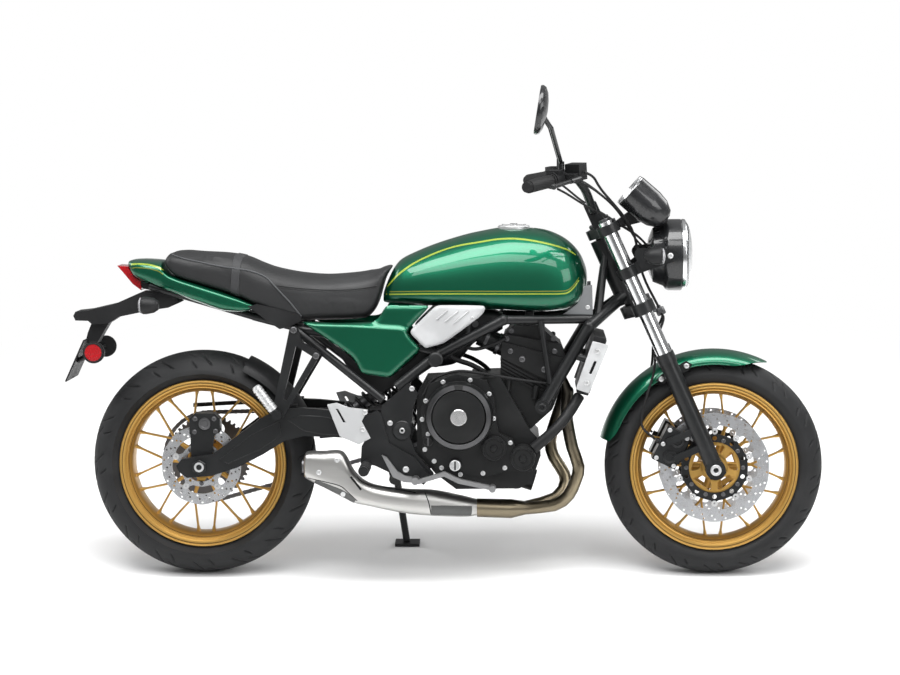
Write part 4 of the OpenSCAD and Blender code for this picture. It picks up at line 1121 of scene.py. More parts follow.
@dataclass
class Tail:
    """Tail cowl with its stripes, the reflectors and the covers over the rails."""

    half: float = 100.0
    stripe: Line = ((-190, 858), (-170, 860), (-140, 858), (-112, 851), (-98, 842))

    def build(self) -> None:
        """Builds the cowl with its channel and its stripes, then the reflectors."""
        w = self.half
        rows = [
            (-201, 0, w - 66, 854, 858, 863, 3, 3), (-200, 0, w - 54, 850, 858, 866, 3, 3),
            (-185, 0, w - 34, 824, 846, 870, 3, 3), (-160, 0, w - 22, 808, 840, 871, 3, 3),
            (-106, 0, w - 12, 788, 830, 866, 4, 3), (-102, 0, w - 12, 787, 822, 850, 4, 5),
            (-88, 0, w - 10, 782, 812, 833, 4, 6), (-60, 0, w - 3, 774, 798, 822, 4, 6),
            (-20, 0, w + 7, 758, 786, 810, 4, 6), (0, 0, w + 11, 752, 780, 804, 4, 6),
            (70, 0, w + 13, 729, 757, 782, 4, 6), (108, 0, w + 12, 727, 749, 768, 4, 6),
            (132, 0, w + 9, 730, 745, 757, 4, 6), (152, 0, w + 2, 739, 744, 748, 4, 6),
        ]
        skin = Shape().loft(rows, 5, 72, tight=True)
        cowl = put("tail_skin", skin.mesh("tail_skin"))
        pitch = atan2(86.0, 290.0)
        c, s = cos(pitch), sin(pitch)
        corners = box(-308.0, -120.0, 112.0, 10.3)
        turned = [(150 + x * c + z * s, 714 - x * s + z * c) for x, z in corners]
        carve(cowl, Shape().plate(turned, -76.0, 76.0))
        settle(cowl, GREEN, replaces=["tail_cowl"], crease=50.0)
        drape = Drape(skin)
        pale, light = Shape(), Shape()
        for side in SIDES:
            drape.ribbon(pale, self.stripe, 6.0, side)
            drape.ribbon(light, [(x, z - 10) for x, z in self.stripe], 2.6, side)
        pale.make("tail_stripes", STRIPE)
        light.make("tail_fine_stripes", FINE_STRIPE)
        self.reflectors()

    def reflectors(self) -> None:
        """Sets the facets and rims on the reflectors, and the covers over the rails before the cowl."""
        facets, rims, covers = Shape(), Shape(), Shape()
        corners = [
            (136, 746), (160, 752), (233, 735), (277, 724), (282, 708), (250, 691), (237, 688), (221, 684),
            (180, 712),
        ]
        for side in SIDES:
            spot, out = (-290, side * 108.8, 620), (0.0, side, 0.0)
            facets.revolve([(0, 0), (23.5, 0), (23.5, 1.2), (0, 2.0)], spot, out, 48)
            rims.revolve([(23.4, 0), (27.5, 0), (27.5, 1.6), (26.5, 2.6), (23.4, 2.4)], spot, out, 48)
            covers.plate(corners, side * 99.0, side * 114.0)
        facets.make("reflector_facets", RED_FACETS)
        rims.make("reflector_rims", PLASTIC)
        covers.make("rail_covers", PLASTIC)


@dataclass
class Panel:
    """A moulded panel on each side, crowned to its edges and stepped down above a fold."""

    name: str
    node: str
    finish: Finish
    outline: Line
    inner: float
    edge: float
    crown: float
    round_off: float
    fold: Line = ()
    drop: float = 9.0
    grain: float = 4.5
    ribs: tuple[tuple[Flat, Flat], ...] = ()

    def edge_points(self) -> np.ndarray:
        """Gives points along the outline, a grain apart, with its corners rounded.

        Returns:
            x and height of the points.
        """
        corners = np.array(self.outline, float)
        for _ in range(2):
            after = np.roll(corners, -1, axis=0)
            reach = np.minimum(0.25, 7.0 / np.linalg.norm(after - corners, axis=1))[:, None]
            corners = np.stack([corners + (after - corners) * reach, after - (after - corners) * reach], 1)
            corners = corners.reshape(-1, 2)
        points: list[np.ndarray] = []
        for a, b in zip(corners, np.roll(corners, -1, axis=0)):
            count = max(1, int(np.linalg.norm(b - a) / self.grain))
            points += [a + (b - a) * k / count for k in range(count)]
        return np.array(points)

    def inside(self, edge: np.ndarray) -> np.ndarray:
        """Gives a grid of points inside the outline, clear of its edge.

        Args:
            edge: points along the outline.

        Returns:
            x and height of the points.
        """
        low, high = edge.min(0), edge.max(0)
        lines = [np.arange(a, b, self.grain) for a, b in zip(low, high)]
        grid = np.stack(np.meshgrid(*lines), -1).reshape(-1, 2)
        after = np.roll(edge, -1, axis=0)
        x, z = grid[:, :1], grid[:, 1:]
        spans = (edge[:, 1] > z) != (after[:, 1] > z)
        rise = np.where(after[:, 1] == edge[:, 1], 1.0, after[:, 1] - edge[:, 1])
        crossed = x < edge[:, 0] + (after[:, 0] - edge[:, 0]) * (z - edge[:, 1]) / rise
        within = (spans & crossed).sum(1) % 2 == 1
        return grid[within & (self.away(grid, edge) > 0.6 * self.grain)]

    def away(self, spots: np.ndarray, edge: np.ndarray) -> np.ndarray:
        """Gives each spot's distance from the edge."""
        return np.sqrt(((spots[:, None, :] - edge[None, :, :]) ** 2).sum(2)).min(1)

    def depth(self, spots: np.ndarray, edge: np.ndarray) -> np.ndarray:
        """Gives how far out each spot of the panel lies.

        Args:
            spots: x and height of the spots.
            edge: points along the outline.

        Returns:
            Places across the motorcycle.
        """
        share = np.clip(self.away(spots, edge) / self.round_off, 0.0, 1.0)
        out = self.edge + self.crown * np.sqrt(1.0 - (1.0 - share) ** 2)
        if self.fold:
            line = np.interp(spots[:, 0], [p[0] for p in self.fold], [p[1] for p in self.fold])
            step = np.clip((spots[:, 1] - line) / 15.0, 0.0, 1.0)
            out -= self.drop * step * step * (3.0 - 2.0 * step)
        return np.maximum(out, self.inner + 1.5)

    def build(self) -> None:
        """Builds both panels with their ribs."""
        edge = self.edge_points()
        count = len(edge)
        points = [Vector(p) for p in np.concatenate([edge, self.inside(edge)])]
        spots, _, faces, _, _, _ = delaunay_2d_cdt(points, [], [list(range(count))], 1, 0.001)
        flat = np.array([tuple(p) for p in spots])
        out = self.depth(flat, edge)
        size = len(flat)
        walls = [[a, (a + 1) % count, size + (a + 1) % count, size + a] for a in range(count)]
        cover, ribs = Shape(), Shape()
        for side in SIDES:
            front = [(x, side * y, z) for (x, z), y in zip(flat, out)]
            back = [(x, side * self.inner, z) for x, z in flat]
            sheets = [list(f) for f in faces] + [[size + i for i in f][::-1] for f in faces]
            cover.add(front + back, sheets + walls)
        cover.make(self.name, self.finish, Body.CHASSIS, [self.node], 50.0)
        drape = Drape(cover)
        for side in SIDES:
            for path in self.ribs:
                drape.bead(ribs, path, 2.2, side, 0.2)
        if self.ribs:
            ribs.make(self.name + "_ribs", self.finish)


SIDE_COVERS = Panel(
    "side_panels", "side_covers", GREEN,
    (
        (280, 706), (382, 702), (476, 704), (493, 716), (512, 750), (632, 748), (566, 677), (608, 631),
        (523, 552), (444, 564), (425, 604), (395, 628),
    ),
    126.4, 133.0, 10.0, 16.0,
    ((280, 700), (400, 694), (489, 686), (550, 682), (566, 677), (640, 677)),
)
DUCT_COVERS = Panel(
    "duct_panels", "duct_covers", WHITE_SILVER,
    (
        (648, 750), (776, 749), (782, 740), (770, 722), (714, 680), (668, 647), (630, 637), (618, 634),
        (574, 678),
    ),
    130.4, 142.0, 6.0, 11.0,
    ribs=(((650, 713), (678, 737)), ((673, 707), (708, 735)), ((695, 701), (736, 735))),
)


@dataclass
class Tyre:
    """A tyre with road tread and sidewall ribs."""

    name: str
    node: str
    body: Body
    axle: Place
    radius: float
    half: float
    bead_half: float
    wall: float
    pitches: int
    steps: int = 840
    across: int = 72
    depth: float = 4.2

    def build(self) -> None:
        """Builds the tyre from its bead over the tread to the other bead."""
        flange = self.radius - self.wall
        base = [(flange - 12.7, self.bead_half, 90.0), (flange + 2, self.bead_half, 89.0)]
        base.append((flange + 5, self.bead_half + 3, 88.0))
        for k in range(self.across + 1):
            angle = 76.0 - 152.0 * k / self.across
            turn = radians(angle)
            crown = self.radius - self.half + self.half * cos(turn)
            base.append((crown, self.half * sin(turn), angle))
        base += [(flange + 5, -self.bead_half - 3, -88.0), (flange + 2, -self.bead_half, -89.0)]
        base.append((flange - 12.7, -self.bead_half, -90.0))
        profile = np.array(base)
        theta = np.arange(self.steps) * 2.0 * pi / self.steps
        turn, lean = np.meshgrid(theta, profile[:, 2], indexing="ij")
        sink = self.groove(turn, lean) * self.depth + self.ribs(lean)
        out = np.radians(np.clip(lean, -76, 76))
        r = profile[:, 0][None, :] - sink * np.cos(out)
        y = profile[:, 1][None, :] - sink * np.sin(out)
        rings = np.stack(
            [self.axle[0] + r * np.sin(turn), y + self.axle[1], self.axle[2] + r * np.cos(turn)], axis=2
        )
        Shape().skin(rings, loop=True).make(self.name, TYRE, self.body, [self.node], 60.0)

    def groove(self, turn: np.ndarray, lean: np.ndarray) -> np.ndarray:
        """Shapes the tread: long swept grooves on each side and short ones between them.

        Args:
            turn: angle round the wheel.
            lean: angle across the tread in degrees.

        Returns:
            How deep each point is, from 0 to 1.
        """
        pitch = 2.0 * pi / self.pitches
        total = np.zeros_like(turn)
        for side in SIDES:
            for start, end, shift, sweep, width in (
                (4.0, 40.0, 0.0, 0.42, 3.2),
                (24.0, 58.0, 0.5, 0.3, 2.9),
                (44.0, 64.0, 0.25, 0.14, 2.4),
            ):
                share = np.clip((side * lean - start) / (end - start), 0.0, 1.0)
                centre = shift + sweep * share**1.4 + (0.5 if side < 0 else 0.0)
                apart = (turn / pitch - centre + 0.5) % 1.0 - 0.5
                gap = np.abs(apart) * pitch * self.radius
                fade = np.clip(np.minimum(share, 1.0 - share) * 7.0, 0.0, 1.0)
                total = np.maximum(total, fade * np.clip(1.6 - gap / width, 0.0, 1.0))
        return total

    def ribs(self, lean: np.ndarray) -> np.ndarray:
        """Raises two fine rings on the sidewalls."""
        wall = np.abs(lean)
        return -0.7 * (np.exp(-(((wall - 71.0) / 1.3) ** 2)) + np.exp(-(((wall - 67.0) / 1.3) ** 2)))


@dataclass
class Wheel:
    """A cast wheel: rim with its lips, forked spokes, hub and flanges."""

    name: str
    node: str
    body: Body
    axle: Place
    flange: float
    half: float
    right: float
    left: float
    plate: float
    apex: float = 106.0
    pairs: int = 10

    def build(self) -> None:
        """Builds the rim, the spokes and the hub."""
        r, h = self.flange, self.half
        edge = [
            (r - 13, h - 6), (r - 1, h - 6), (r, h - 3), (r - 1.5, h - 0.5), (r - 5, h), (r - 14, h - 2),
            (r - 22, h - 10), (r - 31, h - 22), (r - 34, h - 34),
        ]
        rim = Shape().revolve(edge + [(a, -b) for a, b in edge[::-1]], self.axle, ACROSS, 160)
        rim.make(self.name + "_rim", GOLD, self.body, [self.node], 32.0)
        self.lips()
        spokes = Shape()
        step = pi / self.pairs
        stem = ((0.0, 9.0, 11.0), (0.6, 6.0, 10.0), (1.0, 4.5, 8.5))
        prong = ((0.0, 4.0, 8.0), (0.14, 3.1, 8.0), (0.82, 2.9, 8.0), (1.0, 6.0, 12.0))
        for k in range(self.pairs):
            turn = pi / 2.0 - step + 2.0 * step * k
            self.spoke(spokes, 30.0, turn, self.apex + 3.0, turn, stem)
            for side in SIDES:
                self.spoke(spokes, self.apex - 3.0, turn, r - 32.0, turn + side * step * 0.67, prong)
        bore, low, high = 10.6, -self.right, self.left
        hub = [(bore, low), (37, low), (37, low + 14), (32, low + 26)]
        hub += [(32, high - 26), (37, high - 14), (37, high), (bore, high)]
        spokes.revolve(hub, self.axle, ACROSS, 72)
        spokes.make(self.name + "_spokes", GOLD, self.body, (), 45.0)
        sides = (low + 4.5, high - 4.5)
        flanges = flat_piece(self.name + "_flanges", self.flange_outline(), 9.0, self.axle, sides)
        settle(flanges, GOLD, self.body, (), PLATE_CREASE)

    def spoke(
        self, shape: Shape, r0: float, turn0: float, r1: float, turn1: float, sizes: Sequence[Sequence[float]]
    ) -> None:
        """Adds a bar between two places about the axle.

        Args:
            shape: the piece that takes the bar.
            r0: radius where it starts.
            turn0: angle where it starts.
            r1: radius where it ends.
            turn1: angle where it ends.
            sizes: share of the way, half width and half depth of each section.
        """
        start = Vector((r0 * cos(turn0), r0 * sin(turn0)))
        end = Vector((r1 * cos(turn1), r1 * sin(turn1)))
        way = (end - start).normalized()
        rings = []
        for share, wide, deep in sizes:
            spot = start.lerp(end, share)
            ring = []
            for k in range(12):
                c, d = cos(pi * k / 6), sin(pi * k / 6)
                across = wide * copysign(abs(c) ** 0.7, c)
                depth = deep * copysign(abs(d) ** 0.7, d)
                x, z = spot.x - way.y * across, spot.y + way.x * across
                ring.append((self.axle[0] + x, depth, self.axle[2] + z))
            rings.append(ring)
        shape.skin(np.array(rings))

    def flange_outline(self) -> list[list[Flat]]:
        """Gives the outlines of a flange: its rim, its bore and its windows.

        Returns:
            The rim, then what is cut out of it.
        """
        outlines = [circle(r, 96) for r in (self.plate, 33.0)]
        low, high = 40.0, self.plate - 10.0
        window = [(low, -20), (low, 20), (low + 4, 25), (high - 4, 27)]
        window += [(high, 23), (high, -23), (high - 4, -27), (low + 4, -25)]
        for k in range(5):
            turns = [(r, radians(90 + 72 * k + a)) for r, a in window]
            outlines.append([(r * cos(t), r * sin(t)) for r, t in turns])
        return outlines

    def lips(self) -> None:
        """Builds the rim's bright lips and, between them, bands of darker gold laid in the grooves as painted
        shade.
        """
        lips, grooves = Shape(), Shape()
        for side in SIDES:
            out = (0.0, side, 0.0)
            for drop, inset, size in ((3.4, 0.2, 1.7), (21.0, 8.6, 1.9)):
                spot = (self.flange - drop, self.half - inset)
                lips.revolve(circle(size, 8, spot), self.axle, out, 120)
            # Darker gold bands where the grooves lie: painted shade.
            for r, h in ((self.flange - 8.6, self.half - 0.8), (self.flange - 25.5, self.half - 14.6)):
                band = [(r - 1.1, h - 1.2), (r + 1.1, h - 1.2), (r + 1.1, h + 0.5), (r - 1.1, h + 0.2)]
                grooves.revolve(band, self.axle, out, 120)
        lips.make(self.name + "_rim_lips", GOLD, self.body)
        grooves.make(self.name + "_rim_grooves", GOLD_GROOVE_SHADE, self.body)


@dataclass
class Mudguard:
    """Front mudguard, drawn to a point ahead and rounded behind."""

    edge: float = 283.0
    half: float = 68.0
    rise: float = 38.0
    wall: float = 3.0

    def build(self) -> None:
        """Builds the guard as rings about the front axle."""
        rings = []
        for k in range(73):
            angle = 63.0 + 103.0 * k / 72
            front = min(1.0, max(0.0, (81.0 - angle) / 18.0))
            rear = min(1.0, max(0.0, (angle - 158.0) / 8.0))
            hold = 76.0 * front ** 1.6 + 22.0 * rear ** 2
            turn = radians(angle)
            ring = []
            for inset, order in ((0.0, 1), (self.wall, -1)):
                for j in range(33)[::order]:
                    t = radians(hold + (180.0 - 2.0 * hold) * j / 32)
                    r = self.edge + (self.rise - inset) * sin(t)
                    x, z = r * cos(turn), r * sin(turn)
                    ring.append((FRONT_AXLE[0] + x, (self.half - inset) * cos(t), FRONT_AXLE[2] + z))
            rings.append(ring)
        skin = Shape().skin(np.array(rings))
        skin.make("mudguard_skin", GREEN, Body.STEERING, ["front_mudguard"], 45.0)
        lip = Shape()
        for side in SIDES:
            turns = [radians(82 + 75 * k / 40) for k in range(41)]
            r, y = self.edge + 1.0, side * (self.half - 1.2)
            path = [(FRONT_AXLE[0] + r * cos(t), y, FRONT_AXLE[2] + r * sin(t)) for t in turns]
            lip.tube(path, 2.0, 10)
        lip.make("mudguard_lips", GREEN, Body.STEERING)


@dataclass
class Rotor:
    """A drilled brake rotor with its carrier and buttons."""

    name: str
    node: str
    body: Body
    finish: Finish
    centre: Place
    outer: float
    inner: float
    carrier: float
    lobe: float
    bore: float
    thick: float
    rows: int
    sides: tuple[float, ...]
    buttons: int = 10
    face: Finish = BLACK
    reach: float = 17.0

    def ring_outline(self) -> list[list[Flat]]:
        """Gives the outlines of the rotor ring: its rims and its holes.

        Returns:
            The rim, then what is cut out of it.
        """
        full = [2.0 * pi * k / 240 for k in range(240)]
        wave = [self.outer - 1.6 * (1.0 + cos(10 * a)) / 2.0 for a in full]
        tabs = [max(0.0, cos(self.buttons * (a - pi / 2.0))) ** 4 for a in full]
        hollow = [self.inner - self.reach * tab for tab in tabs]
        outlines = [[(r * cos(a), r * sin(a)) for r, a in zip(rim, full)] for rim in (wave, hollow)]
        band = self.outer - self.inner
        for k in range(self.rows):
            for j, share in enumerate((0.2, 0.5, 0.8)):
                angle = 2.0 * pi * (k + 0.28 * j) / self.rows
                radius = self.inner + band * share
                spot = (radius * cos(angle), radius * sin(angle))
                outlines.append(circle(2.9, 12, spot))
        return outlines

    def carrier_outline(self) -> list[list[Flat]]:
        """Gives the outlines of the carrier: its lobed rim, its bore and its windows.

        Returns:
            The rim, then what is cut out of it.
        """
        rim = []
        for k in range(200):
            a = 2.0 * pi * k / 200
            lobe = max(0.0, cos(self.buttons * (a - pi / 2.0))) ** 3
            r = self.carrier + (self.lobe - self.carrier) * lobe
            rim.append((r * cos(a), r * sin(a)))
        middle = (self.carrier + self.bore) / 2.0
        window = (self.carrier - self.bore) * 0.3
        windows = [circle(window, 16, spot) for spot in circle(middle, 10, start=18.0)]
        return [rim, circle(self.bore, 96), *windows]

    def build(self) -> None:
        """Builds the rings, carriers and buttons on each side."""
        for ending, outline, thick, finish, nodes in (
            ("_rings", self.ring_outline(), self.thick - 0.8, self.finish, [self.node]),
            ("_carriers", self.carrier_outline(), self.thick, self.face, []),
        ):
            piece = flat_piece(self.name + ending, outline, thick, self.centre, self.sides)
            settle(piece, finish, self.body, nodes, PLATE_CREASE)
        buttons, bolts = Shape(), Shape()
        half = self.thick / 2.0
        edge = half + 1.2
        button = [(3, -edge), (8, -edge), (8.6, -half), (8.6, half), (8, edge), (3, edge)]
        button_r = (self.lobe + self.inner - self.reach) / 2.0
        bolt_r = self.bore + (self.carrier - self.bore) * 0.35
        hub = (self.centre[0], self.centre[2])
        for y in self.sides:
            for x, z in circle(button_r, self.buttons, hub, 90.0):
                buttons.revolve(button, (x, y, z), ACROSS, 24)
            outward = copysign(1.0, y)
            for x, z in circle(bolt_r, self.buttons, hub, 90.0 + 180.0 / self.buttons):
                bolts.bolt((x, y + outward * half, z), (0, outward, 0), 5.0, 4.5)
        buttons.make(self.name + "_buttons", SILVER, self.body)
        bolts.make(self.name + "_bolts", DARK_STEEL, self.body)


def flat_piece(
    name: str, outlines: Sequence[Sequence[Flat]], thick: float, centre: Place, sides: Sequence[float]
) -> bpy.types.Object:
    """Cuts a piece from plate that stands across an axle.

    Args:
        name: name of the piece.
        outlines: closed outlines about the axle, the outer ones and the holes.
        thick: thickness of the plate.
        centre: place of the axle.
        sides: places of the plate across the motorcycle.

    Returns:
        The piece, in place and not yet settled.
    """
    curve = bpy.data.curves.new(name, "CURVE")
    curve.dimensions = "2D"
    curve.fill_mode = "BOTH"
    curve.extrude = thick / 2.0
    for outline in outlines:
        spline = curve.splines.new("POLY")
        spline.points.add(len(outline) - 1)
        for point, (x, y) in zip(spline.points, outline):
            point.co = (x, y, 0.0, 1.0)
        spline.use_cyclic_u = True
    drawn = put(name + "_drawn", curve)
    bpy.context.view_layer.update()
    graph = bpy.context.evaluated_depsgraph_get()
    flat = bpy.data.meshes.new_from_object(drawn.evaluated_get(graph))
    bpy.data.objects.remove(drawn)
    shape = Shape()
    for y in sides:
        points = [(centre[0] + v.co.x, y - v.co.z, centre[2] + v.co.y) for v in flat.vertices]
        shape.add(points, [list(p.vertices) for p in flat.polygons])
    return put(name, shape.mesh(name))


@dataclass
class Chain:
    """Roller chain over both sprockets."""

    rear: Flat = (0.0, 309.0)
    front: Flat = (640.0, 405.0)
    rear_r: float = 125.0
    front_r: float = 44.0
    y: float = 92.0
    pitch: float = 15.875
    link: float = 1.2

    def loop(self) -> np.ndarray:
        """Gives the line of the chain's pins, closed.

        Returns:
            x and height of the points.
        """
        c0, c1 = np.array(self.rear), np.array(self.front)
        away = c1 - c0
        turn = atan2(away[1], away[0])
        wrap = asin((self.rear_r - self.front_r) / np.linalg.norm(away))
        angles = np.linspace(turn + pi / 2 - wrap, turn + 1.5 * pi + wrap, 120)
        first = c0 + self.rear_r * np.stack([np.cos(angles), np.sin(angles)], 1)
        angles = np.linspace(turn - pi / 2 + wrap, turn + pi / 2 - wrap, 60)
        second = c1 + self.front_r * np.stack([np.cos(angles), np.sin(angles)], 1)
        return np.concatenate([first, second, first[:1]])

    def build(self) -> None:
        """Builds the links and rollers as one mesh."""
        line = self.loop()
        far = np.concatenate([[0.0], np.cumsum(np.linalg.norm(np.diff(line, axis=0), axis=1))])
        count = 2 * round(far[-1] / self.pitch / 2.0)
        marks = np.linspace(0.0, far[-1], count + 1)
        pins = np.stack([np.interp(marks, far, line[:, 0]), np.interp(marks, far, line[:, 1])], 1)
        shape = Shape()
        for i in range(count):
            a, b = pins[i], pins[i + 1]
            along = (b - a) / np.linalg.norm(b - a)
            up = np.array([-along[1], along[0]])
            outline = []
            for k in range(20):
                angle = 2.0 * pi * k / 20
                end = b if cos(angle) > 0 else a
                waist = 0.76 if abs(cos(angle)) < 0.2 else 1.0
                outline.append(end + 6.0 * (cos(angle) * along + waist * sin(angle) * up))
            outer = 4.9 if i % 2 else 3.4
            for side in SIDES:
                shape.plate(outline, self.y + side * outer, self.y + side * (outer + self.link))
            shape.revolve(box(0, -3.2, 4.6, 3.2), (a[0], self.y, a[1]), ACROSS, 10)
            if i % 2:
                for pin in (a, b):
                    shape.revolve(box(0, -6.4, 2.3, 6.4), (pin[0], self.y, pin[1]), ACROSS, 8)
        shape.make("chain_links", DARK_STEEL, Body.CHASSIS, ["drive_chain"])


@dataclass
class Shock:
    """Rear shock with its coil spring."""

    low: Place = (378.0, -38.0, 434.3)
    high: Place = (590.0, -38.0, 568.0)
    coil_r: float = 23.0
    wire: float = 4.6
    turns: float = 7.0

    def build(self) -> None:
        """Builds the damper and the spring."""
        low, high = Vector(self.low), Vector(self.high)
        way = (high - low).normalized()
        run = (high - low).length
        damper = [(0, 2), (13, 2), (13, 26), (26, 30), (27, 36), (16, 38), (16, run * 0.55), (8, run * 0.56)]
        damper += [(8, run - 44), (26, run - 42), (26, run - 34), (15, run - 30)]
        damper += [(14, run - 10.4), (0, run - 10.4)]
        Shape().revolve(damper, low, way, 40).make("shock_damper", DARK_STEEL, Body.CHASSIS, ["rear_shock"])
        side = way.orthogonal().normalized()
        other = way.cross(side)
        path = []
        for k in range(int(self.turns * 26) + 1):
            t = k / (self.turns * 26)
            angle = 2.0 * pi * self.turns * t
            offset = self.coil_r * (cos(angle) * side + sin(angle) * other)
            path.append(low + way * (39 + (run - 84) * t) + offset)
        Shape().tube(path, self.wire, 10).make("shock_spring", BLACK)


@dataclass
class Engine:
    """Bolts, plugs and rings on the engine, its air box and the panels beside it."""

    face: float = 168.8
    clutch: Flat = (710.0, 454.0)
    bolts: Line = (
        (667, 545), (740, 550), (791, 513), (803, 446), (620, 494), (610, 444), (626, 404), (617, 362),
        (642, 330), (662, 312), (713, 294), (774, 297), (833, 312), (893, 312), (848, 380),
    )
    generator: Flat = (770.0, 400.0)

    def build(self) -> None:
        """Builds the screws, the clutch's ring and hub, and what the other methods add."""
        screws = Shape()
        for x, z in self.bolts:
            screws.bolt((x, -self.face, z), TO_RIGHT, 5.2, 6.0)
        for x, z in circle(96.0, 8, self.generator):
            screws.bolt((x, 150, z), ACROSS, 5.0, 10.0)
        for x, z in ((642, 452), (612, 380), (690, 460), (690, 356)):
            screws.bolt((x, 128.5, z), ACROSS, 5.0, 6.0)
        screws.make("engine_screws", SILVER)
        drum = (self.clutch[0], -self.face, self.clutch[1])
        ring = [(74.4, 44.3), (86.4, 40.3), (87.2, 40.8), (86.6, 42.0), (75.2, 45.6), (74.2, 45.2)]
        bright = Shape().revolve(ring, drum, TO_RIGHT, 140, 8.0, 344.0)
        bright.make("clutch_ring", RING)
        boss = [(0, 51), (21.8, 51), (21.8, 52.4), (20.8, 53.2), (0, 53.4)]
        hub = Shape().revolve(boss, drum, TO_RIGHT, 64)
        face = Spun("clutch_hub_face", "silver", (0.8, 0.8, 0.8), centre=drum)
        hub.make("clutch_hub", face)
        self.plugs()
        self.head()
        self.airbox()

    def plugs(self) -> None:
        """Adds the oil filler and a plug, each with a slot, and the small covers' rims."""
        for name, (x, z), y, r, face, mark in (
            ("oil_filler", (699, 320), self.face + 14, 15.0, SILVER, ENGINE),
            ("oil_plug", (626, 384), self.face, 14.0, ENGINE, DARK_STEEL),
        ):
            rim = [(0, 0), (r, 0), (r, 4), (r - 2, 5.5), (r - 4, 5.5), (r - 5, 4), (0, 4)]
            Shape().revolve(rim, (x, -y, z), TO_RIGHT, 40).make(name, face)
            bar = box(x - 2, z - r + 3, x + 2, z + r - 3)
            Shape().plate(bar, -y - 6.4, -y - 3.5).make(name + "_slot", mark)
        rims = Shape()
        for (x, z), y, r in (((804, 366), self.face + 14, 33.0), ((882, 339), self.face + 19.3, 34.0)):
            profile = [(r - 8, 0), (r - 1, 0), (r - 2, 3), (r - 7, 3)]
            rims.revolve(profile, (x, -y, z), TO_RIGHT, 48)
            rims.revolve([(0, 0), (10, 0), (8, 5), (0, 5.5)], (x, -y, z), TO_RIGHT, 32)
            for bolt_x, bolt_z in circle(r - 4, 3, (x, z), 40.0):
                rims.bolt((bolt_x, -y, bolt_z), TO_RIGHT, 3.8, 5.0)
        rims.make("cover_rims", ENGINE)

    def airbox(self) -> None:
        """Adds the air box, the dark panels behind the side covers and the block's bosses."""
        rows = [
            (604, 0, 40, 580, 642, 690, 4, 4), (612, 0, 58, 570, 640, 716, 4, 4),
            (690, 0, 64, 580, 650, 730, 5, 5), (720, 0, 64, 606, 670, 731, 5, 5),
            (750, 0, 64, 640, 684, 732, 5, 5), (800, 0, 58, 662, 696, 728, 5, 5),
            (826, 0, 46, 676, 700, 720, 4, 4),
        ]
        Shape().loft(rows, 5, 48).make("air_box", PLASTIC, Body.CHASSIS, (), 40.0)
        corners = [
            (333, 675), (396, 620), (432, 586), (448, 569), (526, 552), (576, 592), (610, 625), (632, 608),
            (565, 536), (526, 525), (498, 511), (459, 525), (410, 570), (393, 597),
        ]
        run = ((3, 96.5, 16), (1, 98, 10), (-1, 98, -10), (-3, 96.5, -16))
        panels, bosses = Shape(), Shape()
        for side in SIDES:
            panels.plate(corners, side * 95.0, side * 103.0)
            for x, z in ((841, 527), (916, 510), (831, 456), (870, 443)):
                bosses.tube([(x + a, side * y, z + b) for a, y, b in run], 9.0, 20)
        panels.make("inner_panels", PLASTIC)
        bosses.make("block_bosses", ENGINE)

    def head(self) -> None:
        """Adds the bolts of the head and the block."""
        bolts = Shape()
        for side in SIDES:
            for x, z, y in ((850, 676, 78), (965, 654, 78), (838, 655, 90), (968, 621, 90), (848, 622, 98)):
                bolts.bolt((x, side * y, z), (0, side, 0), 6.0, 5.0)
            for x, z in ((940, 572), (880, 600)):
                bolts.bolt((x, side * 98, z), (0, side, 0), 7.0, 5.0)
        bolts.make("head_bolts", DARK_STEEL)


